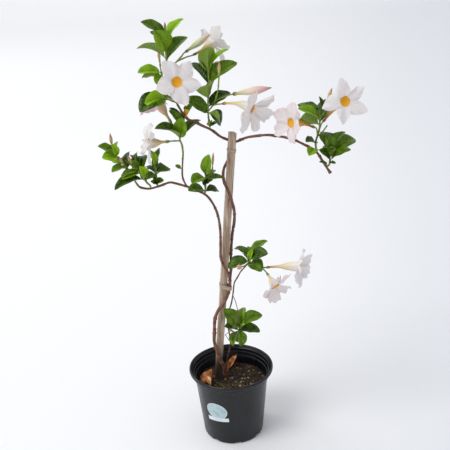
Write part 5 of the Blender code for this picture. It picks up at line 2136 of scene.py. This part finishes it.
SHOOTS = (
    Shoot("shoot_top_left", (0, -0.7, 1), Stem(
        ((-68.2, -12, 665.4), (-72, -8, 676), (-77, -4, 696), (-81, 0, 719), (-82, 2, 738), (-82, 2, 753),
         (-82, 2, 768), (-81, 2, 781)),
        ((20, -154, 48, 58, 27, 21, 0.25), (15, 38, 43, 54, 19, -17, 0.9), (28, -117, 50, 46, 28, -45, 0.6),
         (41, -177, 26, 52, 28, 62, 0.15), (43, 37, 38, 57, 24, -4, 0.3), (18, 139, 33, 40, 16, 14, 0.05),
         (7, 117, 49, 22, 10, 33, 0.35), (18, 58, 42, 26, 12, -25, 0.05))),
        branches=(Stem(
            ((-71, -9, 673), (-83, -18, 682), (-90, -18, 697), (-90, -16, 712), (-91, -16, 725),
             (-92, -16, 735)),
            ((15, -147, 9, 44, 20, -3, 0.75), (19, -148, 3, 38, 18, 79, 0.5),
             (17, -112, -34, 24, 14, 12, 0.9))), Stem(
            ((-69.5, -11, 669), (-77, -20, 674), (-86, -27, 680)),
            ((0, -137, -10, 57, 32, 0, 0.1), (0, -136, 1, 44, 24, -24, 0.9),
             (8, -149, -10, 54, 25, 23, 0.2), (5, 134, 24, 26, 15, 9, 0.5)))),
        stalks=(Stalk(((-81, 0, 722), (-73, 3, 729), (-64, 6, 735))),
            Stalk(((-64, 6, 735), (-49, 14, 740)), "bloom_top"),
            Stalk(((-66, 5, 734), (-57, 10, 742)), "bud_top"),
            Stalk(((-76, -4, 692), (-74, 3, 697)), "bloom_front_left"),
            Stalk(((-82, 2, 774), (-81, 2, 779)), "bud_shoot_tip"),
            Stalk(((-92, -16, 730),), "bud_side_shoot"))),
    Shoot("shoot_top_middle", (0, -0.7, 1), Stem(
        ((-15.6, -1, 622), (-16, -3, 628), (-17, -5, 640), (-17, -6, 659), (-15, -6, 677), (-13, -6, 697),
         (-13, -6, 712), (-13, -6, 726)),
        ((13, -82, 68, 50, 27, -153, 0.45), (11, 9, 49, 51, 15, -25, 0.8), (31, 6, 37, 60, 25, -5, 0.35),
         (33, 56, 55, 48, 15, -34, 0.15), (13, 122, 47, 38, 22, 24, 0.05), (31, 133, 42, 54, 22, 21, 0.05),
         (55, -89, 49, 38, 29, 16, 0.6), (55, 129, 40, 30, 17, 28, 0.05), (80, -156, 38, 50, 24, -14, 0.2),
         (69, 12, 31, 46, 24, -6, 0.05), (78, -51, -19, 34, 15, -97, 0.6), (78, 39, -41, 38, 24, 20, 0.05),
         (105, -39, 29, 18, 9, -1, 0.2), (105, -80, 51, 17, 10, -22, 0.4),
         (54, 61, 48, 40, 13, -29, 0.1))),
        stalks=(Stalk(((-17, -6, 650), (-8, -10, 661), (-3, -14, 670))),
            Stalk(((-5, -12.5, 666), (1, -21, 686)), "bud_upright"),
            Stalk(((-3.5, -13.6, 669), (12, -15, 675)), "bud_pink"),
            Stalk(((-10, -9, 659), (-4, -16, 663)), "bloom_side"))),
    Shoot("shoot_riser", (0, -0.7, 1), Stem(
        ((-64, -18, 582.4), (-65, -18, 597), (-68, -18, 606), (-66, -18, 615), (-63, -18, 626)),
        ((18, -148, 31, 52, 27, 21, 0.15), (17, -69, 64, 42, 22, 6, 0.5), (17, 47, 24, 57, 18, -12, 0.15),
         (10, 117, 49, 54, 20, 41, 0.05), (0, -174, 63, 38, 15, 20, 0.3))),
        stalks=(Stalk(((-68, -18, 604), (-74, -21, 605)), "bloom_left_edge"),
            Stalk(((-66, -18, 614), (-71, -11, 620)), "bloom_behind_left"))),
    Shoot("shoot_left_outer", (-0.2, -0.7, 1), Stem(
        ((-148.2, -30.1, 536.4), (-153, -30, 547), (-160, -30, 562), (-169, -30, 575), (-178, -30, 586),
         (-182, -30, 597)),
        ((8, -152, 34, 34, 18, 6, 0.3), (20, -142, 19, 34, 21, -16, 0.8), (14, 96, 35, 35, 17, -22, 0.55),
         (13, -102, 62, 28, 12, 74, 0.9), (41, -134, 5, 34, 18, 11, 0.45), (41, 88, 38, 38, 18, -25, 0.05),
         (41, 119, 23, 26, 14, 39, 0.05), (32, 148, 11, 26, 13, 10, 0.8))),
        stalks=(Stalk(((-161, -30, 563), (-162, -34, 565)), "bud_left_fore"),
            Stalk(((-181, -30, 594),), "bud_left_tip"))),
    Shoot("shoot_left_middle", (0, -0.7, 1), Stem(
        ((-124.3, -24.6, 526), (-125, -25, 529), (-131, -28, 537), (-138, -30, 552), (-144, -30, 563)),
        ((0, 96, 45, 34, 17, -45, 0.15), (13, 93, 36, 42, 28, -20, 0.12), (12, -133, 5, 42, 16, 4, 0.9),
         (24, -142, -2, 60, 24, 12, 0.1), (23, -105, 63, 30, 15, 8, 0.9), (7, -130, 3, 42, 15, 9, 0.3),
         (31, 93, 31, 34, 17, -38, 0.05), (9, -137, 47, 34, 14, -11, 0.3), (1, 112, 31, 36, 15, 39, 0.05),
         (5, 89, 38, 30, 13, -37, 0.2))),
        stalks=(Stalk(((-142, -30, 559), (-145, -34, 561)), "bud_left_hind"),)),
    Shoot("shoot_left_inner", (0, -0.7, 1), Stem(
        ((-112.6, -22.8, 528.2), (-112.5, -23, 532), (-113, -24, 549), (-113, -24, 563)),
        ((13, 69, 63, 46, 15, -32, 0.3), (0, -126, 75, 30, 14, 35, 0.8), (15, -35, 21, 34, 15, -14, 0.2),
         (14, 131, 15, 32, 15, 18, 0.05), (15, -125, -1, 25, 16, 1, 0.12), (33, -50, 30, 22, 12, 17, 0.25),
         (10, 51, -3, 34, 20, 1, 0.05), (33, -134, 32, 16, 9, -6, 0.3), (3, 108, 48, 36, 11, 43, 0.5),
         (33, -171, 62, 25, 11, 23, 0.15)))),
    Shoot("shoot_low_left", (0, -0.7, 1), Stem(
        ((-30.4, -15.5, 507.5), (-29.5, -16, 514), (-28, -18, 528), (-27, -18, 541)),
        ((1, -65, 67, 44, 19, 1, 0.55), (6, -128, 3, 38, 22, 9, 0.4), (30, -145, 14, 36, 21, 8, 0.15),
         (31, 40, -9, 32, 17, -6, 0.05), (11, 25, 5, 28, 16, -23, 0.2), (9, 59, 20, 32, 16, -19, 0.05),
         (21, -110, 51, 24, 15, -31, 0.05), (17, -43, 36, 20, 11, 8, 0.25),
         (11, -23, 18, 34, 12, -10, 0.2))),
        stalks=(Stalk(((-27.5, -18, 534), (-19, -19, 541)), "bud_low_left"),)),
    Shoot("shoot_right_upper", (0, -0.7, 1), Stem(
        ((164.8, -24.6, 579), (164.6, -25, 582), (164, -26, 592), (167, -28, 604), (170, -30, 617),
         (170, -32, 631), (170, -32, 645)),
        ((12, 131, 26, 52, 27, 16, 0.1), (16, -151, 33, 52, 20, 3, 0.65), (22, -146, 24, 48, 27, 92, 0.35),
         (10, 61, 43, 40, 15, -43, 0.05), (18, 54, 18, 44, 21, -15, 0.3), (57, -130, 21, 30, 18, -1, 0.15),
         (67, -123, -8, 26, 17, 10, 0.9), (10, -101, 73, 40, 12, 38, 0.12))),
        stalks=(Stalk(((166, -28, 600), (166, -33, 608)), "bloom_right_pink"),
            Stalk(((168, -29, 609), (171, -27, 617)), "bloom_right_white"),
            Stalk(((170, -31, 632), (178, -30, 646)), "bud_right"),
            Stalk(((166, -27.5, 602), (174, -26, 607), (184, -25, 620))))),
    Shoot("shoot_right_lower", (0.1, -0.7, 1), Stem(
        ((184.5, -24.7, 547.7), (187.2, -26, 550), (188.5, -28, 558), (187, -30, 570), (188, -32, 584)),
        ((11, 25, 19, 56, 27, -10, 0.3), (10, 38, 41, 48, 19, -32, 0.2), (11, 96, 38, 48, 29, 19, 0.05),
         (10, -113, 62, 40, 21, -27, 0.25), (22, -110, 58, 32, 20, 90, 0.35),
         (26, -39, 34, 46, 17, -4, 0.25), (25, -150, 45, 32, 15, -6, 0.1), (32, -63, 17, 18, 7, 9, 0.2),
         (19, 111, 42, 44, 16, 25, 0.05), (38, -144, 31, 23, 7, 3, 0.2), (10, -170, 62, 38, 15, 3, 0.2),
         (21, -165, 48, 20, 9, 5, 0.2)))),
    Shoot("shoot_low_right", (0.1, -0.7, 1), Stem(
        ((41.5, -14.2, 366.7), (44, -15, 372), (46, -16, 380), (47, -18, 392)),
        ((21, -175, -11, 42, 25, 15, 0.12), (15, 142, 21, 38, 20, 31, 0.25), (9, 100, 31, 22, 12, 32, 0.35),
         (10, 34, 28, 44, 19, -31, 0.35), (15, -33, 24, 40, 24, 6, 0.08), (26, -52, -7, 36, 25, -3, 0.25),
         (24, 111, 17, 28, 14, 29, 0.05), (21, -33, 75, 26, 11, -34, 0.75),
         (10, 147, 25, 34, 12, 24, 0.2))),
        stalks=(Stalk(((43, -14.6, 370), (54, -17, 366), (62, -22, 363))),
            Stalk(((60, -20.8, 363.6), (67, -23, 362)), "bloom_low_side"),
            Stalk(((60, -20.8, 363.6), (68, -25, 358)), "bloom_low_front"),
            Stalk(((43.6, -14.9, 371), (40, -19, 369), (35, -23, 366)), "bud_round"))),
    Shoot("shoot_low_front", (0.1, -1, 0.75), Stem(
        ((0.1, 24, 209.3), (2.5, 21.6, 209.6), (9, 12, 210), (16, 1, 216), (20, -5, 226),
         (22.5, -9, 238)),
        ((8, -163, 56, 52, 27, 16, 0.25), (0, 77, 36, 38, 20, -35, 0.45), (4, 12, 23, 47, 25, -34, 0.3),
         (18, -147, 33, 36, 20, 39, 0.05), (23, -3, 0, 43, 22, -37, 0.08), (15, -90, -22, 40, 20, -32, 0.3),
         (23, -108, -15, 38, 17, 47, 0.25), (15, 158, 83, 23, 12, 31, 0.9), (11, 6, 65, 21, 12, -40, 0.9),
         (5, 100, 42, 34, 13, 44, 0.05), (17, -98, -16, 32, 14, 55, 0.1)))))


def dress_pot(chance: random.Random) -> None:
    """Make the pot, its label, the soil, the stake and its ties.

    Args:
        chance: the source of chance.
    """
    stand_for(NurseryPot(BlackPolypropylene("black polypropylene", 0.30).make()).build(), Slot.POT, "pot")
    blue = CoatedPaper("coated paper label", 0.45).make()
    white = CoatedPaper("white paper border", 0.5, paper="#dfe6e8", cloud="#d0d9dc").make()
    stand_for(Label(blue, white).build(), Slot.LABEL, "label")
    litter = {
        "bark": Litter("composted bark", 0.85).make(),
        "fibre": Litter("coir fibre", 0.9, dark="#2d1e13", light="#6a5034").make(),
        "grit": Litter("perlite grit", 0.8, dark="#6a6054", light="#b8ae9c").make(),
        "straw": Litter("straw bits", 0.8, dark="#6a5236", light="#ac9068").make(),
        "moss": Litter("cushion moss", 0.95, dark="#2c2c12", light="#6a6a2c").make()}
    soil = Soil(PottingPeat("potting peat", 0.95).make(), litter, chance)
    stand_for(soil.build(), Slot.SOIL, "soil")
    stake = Stake(WeatheredPine("weathered pine", 0.82).make())
    stand_for(stake.build(), Slot.STAKE, "stake")
    tie = Tie(TyingFilm("tying film", 0.55).make(), stake, chance)
    stand_for(tie.build("tie_lower_fine", 315, 7.5, TRUNK[-3:], 2), Slot.TIE, "tie_lower")
    stand_for(tie.build("tie_upper_fine", 578, 5, TWINER[-3:], 2), Slot.TIE, "tie_upper")


def dress_plant(chance: random.Random) -> None:
    """Make the stems, leafy shoots, single leaves, blooms and buds.

    Args:
        chance: the source of chance.
    """
    bark = TwinerBark("twiner bark", 0.62).make()
    wood = WoodGrower(bark, chance)
    stand_for(wood.grow("woody_stems_fine", WOODY_STEMS), Slot.BARK, "woody_stems")
    stand_for(wood.grow("low_stem_fine", LOW_STEMS), Slot.BARK, "low_stem")

    blade = Sheet("blade", (12, 22))
    leaves = LeafBender(LeafCuticle("waxy leaf cuticle").make(), blade, chance)
    grower = ShootGrower(bark, leaves, {goal.name: goal for goal in (*BLOOMS, *BUDS)})
    for shoot in SHOOTS:
        stand_for(grower.grow(shoot), Slot.LEAF, shoot.name)

    dry_blade = Sheet("dry_blade", (16, 30))
    crisp = CrispLeaf("crisp fallen leaf", 0.6)
    pale = CrispLeaf("dry leaf's pale underside", 0.6, bright="#e0b480", pale="#f0dab4", dark="#b98250")
    wilted = CrispLeaf("leaf gone yellow", 0.5, bright="#e6b41a", pale="#eec84a", dark="#b4861c")
    dry = LooseLeaves(LeafBender(crisp.make(), dry_blade, chance, base_power=1.1, tip_power=1.5,
                                 breadth=1.0))
    curled = LooseLeaves(LeafBender(pale.make(), dry_blade, random.Random(CURL_SEED), breadth=1.0))
    green, yellow = LooseLeaves(leaves), LooseLeaves(LeafBender(wilted.make(), blade, chance))
    for loose, slot, name, foot, radius, leaf in (
            (green, Slot.LEAF, "leaf_small_green", (-57, -11.5, 645.5), 2.2, Leaf(0, 10, 57, 20, 12)),
            (green, Slot.LEAF, "leaf_riser", (-67, -18, 553), 2.0, Leaf(0, -175, 35, 12, 7)),
            (yellow, Slot.WITHERED, "leaf_withered_yellow", (-56, -11, 643), 1.1,
             Leaf(0, -50, 48, 15, 14))):
        stand_for(loose.on_stem(name, foot, radius, leaf), slot, name)
    left = dry.fallen("dry_leaf_left", (-60, -15, 109.5), Leaf(0, 52, 28, 41, 26), (0.3, -0.2, 1), -28,
                      0.14, 0.7)
    curl = curled.fallen("dry_leaf_curl", (-42, -28, 111), Leaf(0, 108, 40, 25, 11), (0.2, -0.9, 0.6), 40,
                         0.3, 0.3)
    stand_for(join("dry_leaf_left_fine", [left, curl]), Slot.DRY, "dry_leaf_left")
    right = dry.fallen("dry_leaf_right", (-9, 31, 109.5), Leaf(0, 60, 21, 49, 17), (-0.3, -0.6, 1), 36,
                       -0.02, 0.45)
    stand_for(right, Slot.DRY, "dry_leaf_right")

    bender = BloomBender(PetalSkin("soft petal skin", 0.62).make(), Sheet("petal", (20, 16)),
                         Sheet("sepal", (4, 6)), chance)
    for bloom in BLOOMS:
        slot = Slot.PINK_PETAL if bloom.name in PINK_BLOOMS else Slot.WHITE_PETAL
        stand_for(bender.make(bloom), slot, bloom.name)
    roller = BudRoller(PetalSkin("furled petal skin", 0.5, glow=0.2).make(), bender)
    for bud in BUDS:
        stand_for(roller.make(bud), Slot.BUD, bud.name)


def main() -> None:
    """Build the studio, the pot and the plant in order."""
    logging.basicConfig(level=logging.INFO, format="%(message)s")
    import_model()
    Studio(StudioPaper("seamless paper", 0.9).make()).build()
    chance = random.Random(PLANT_SEED)
    dress_pot(chance)
    dress_plant(chance)


if __name__ == "__main__":
    main()
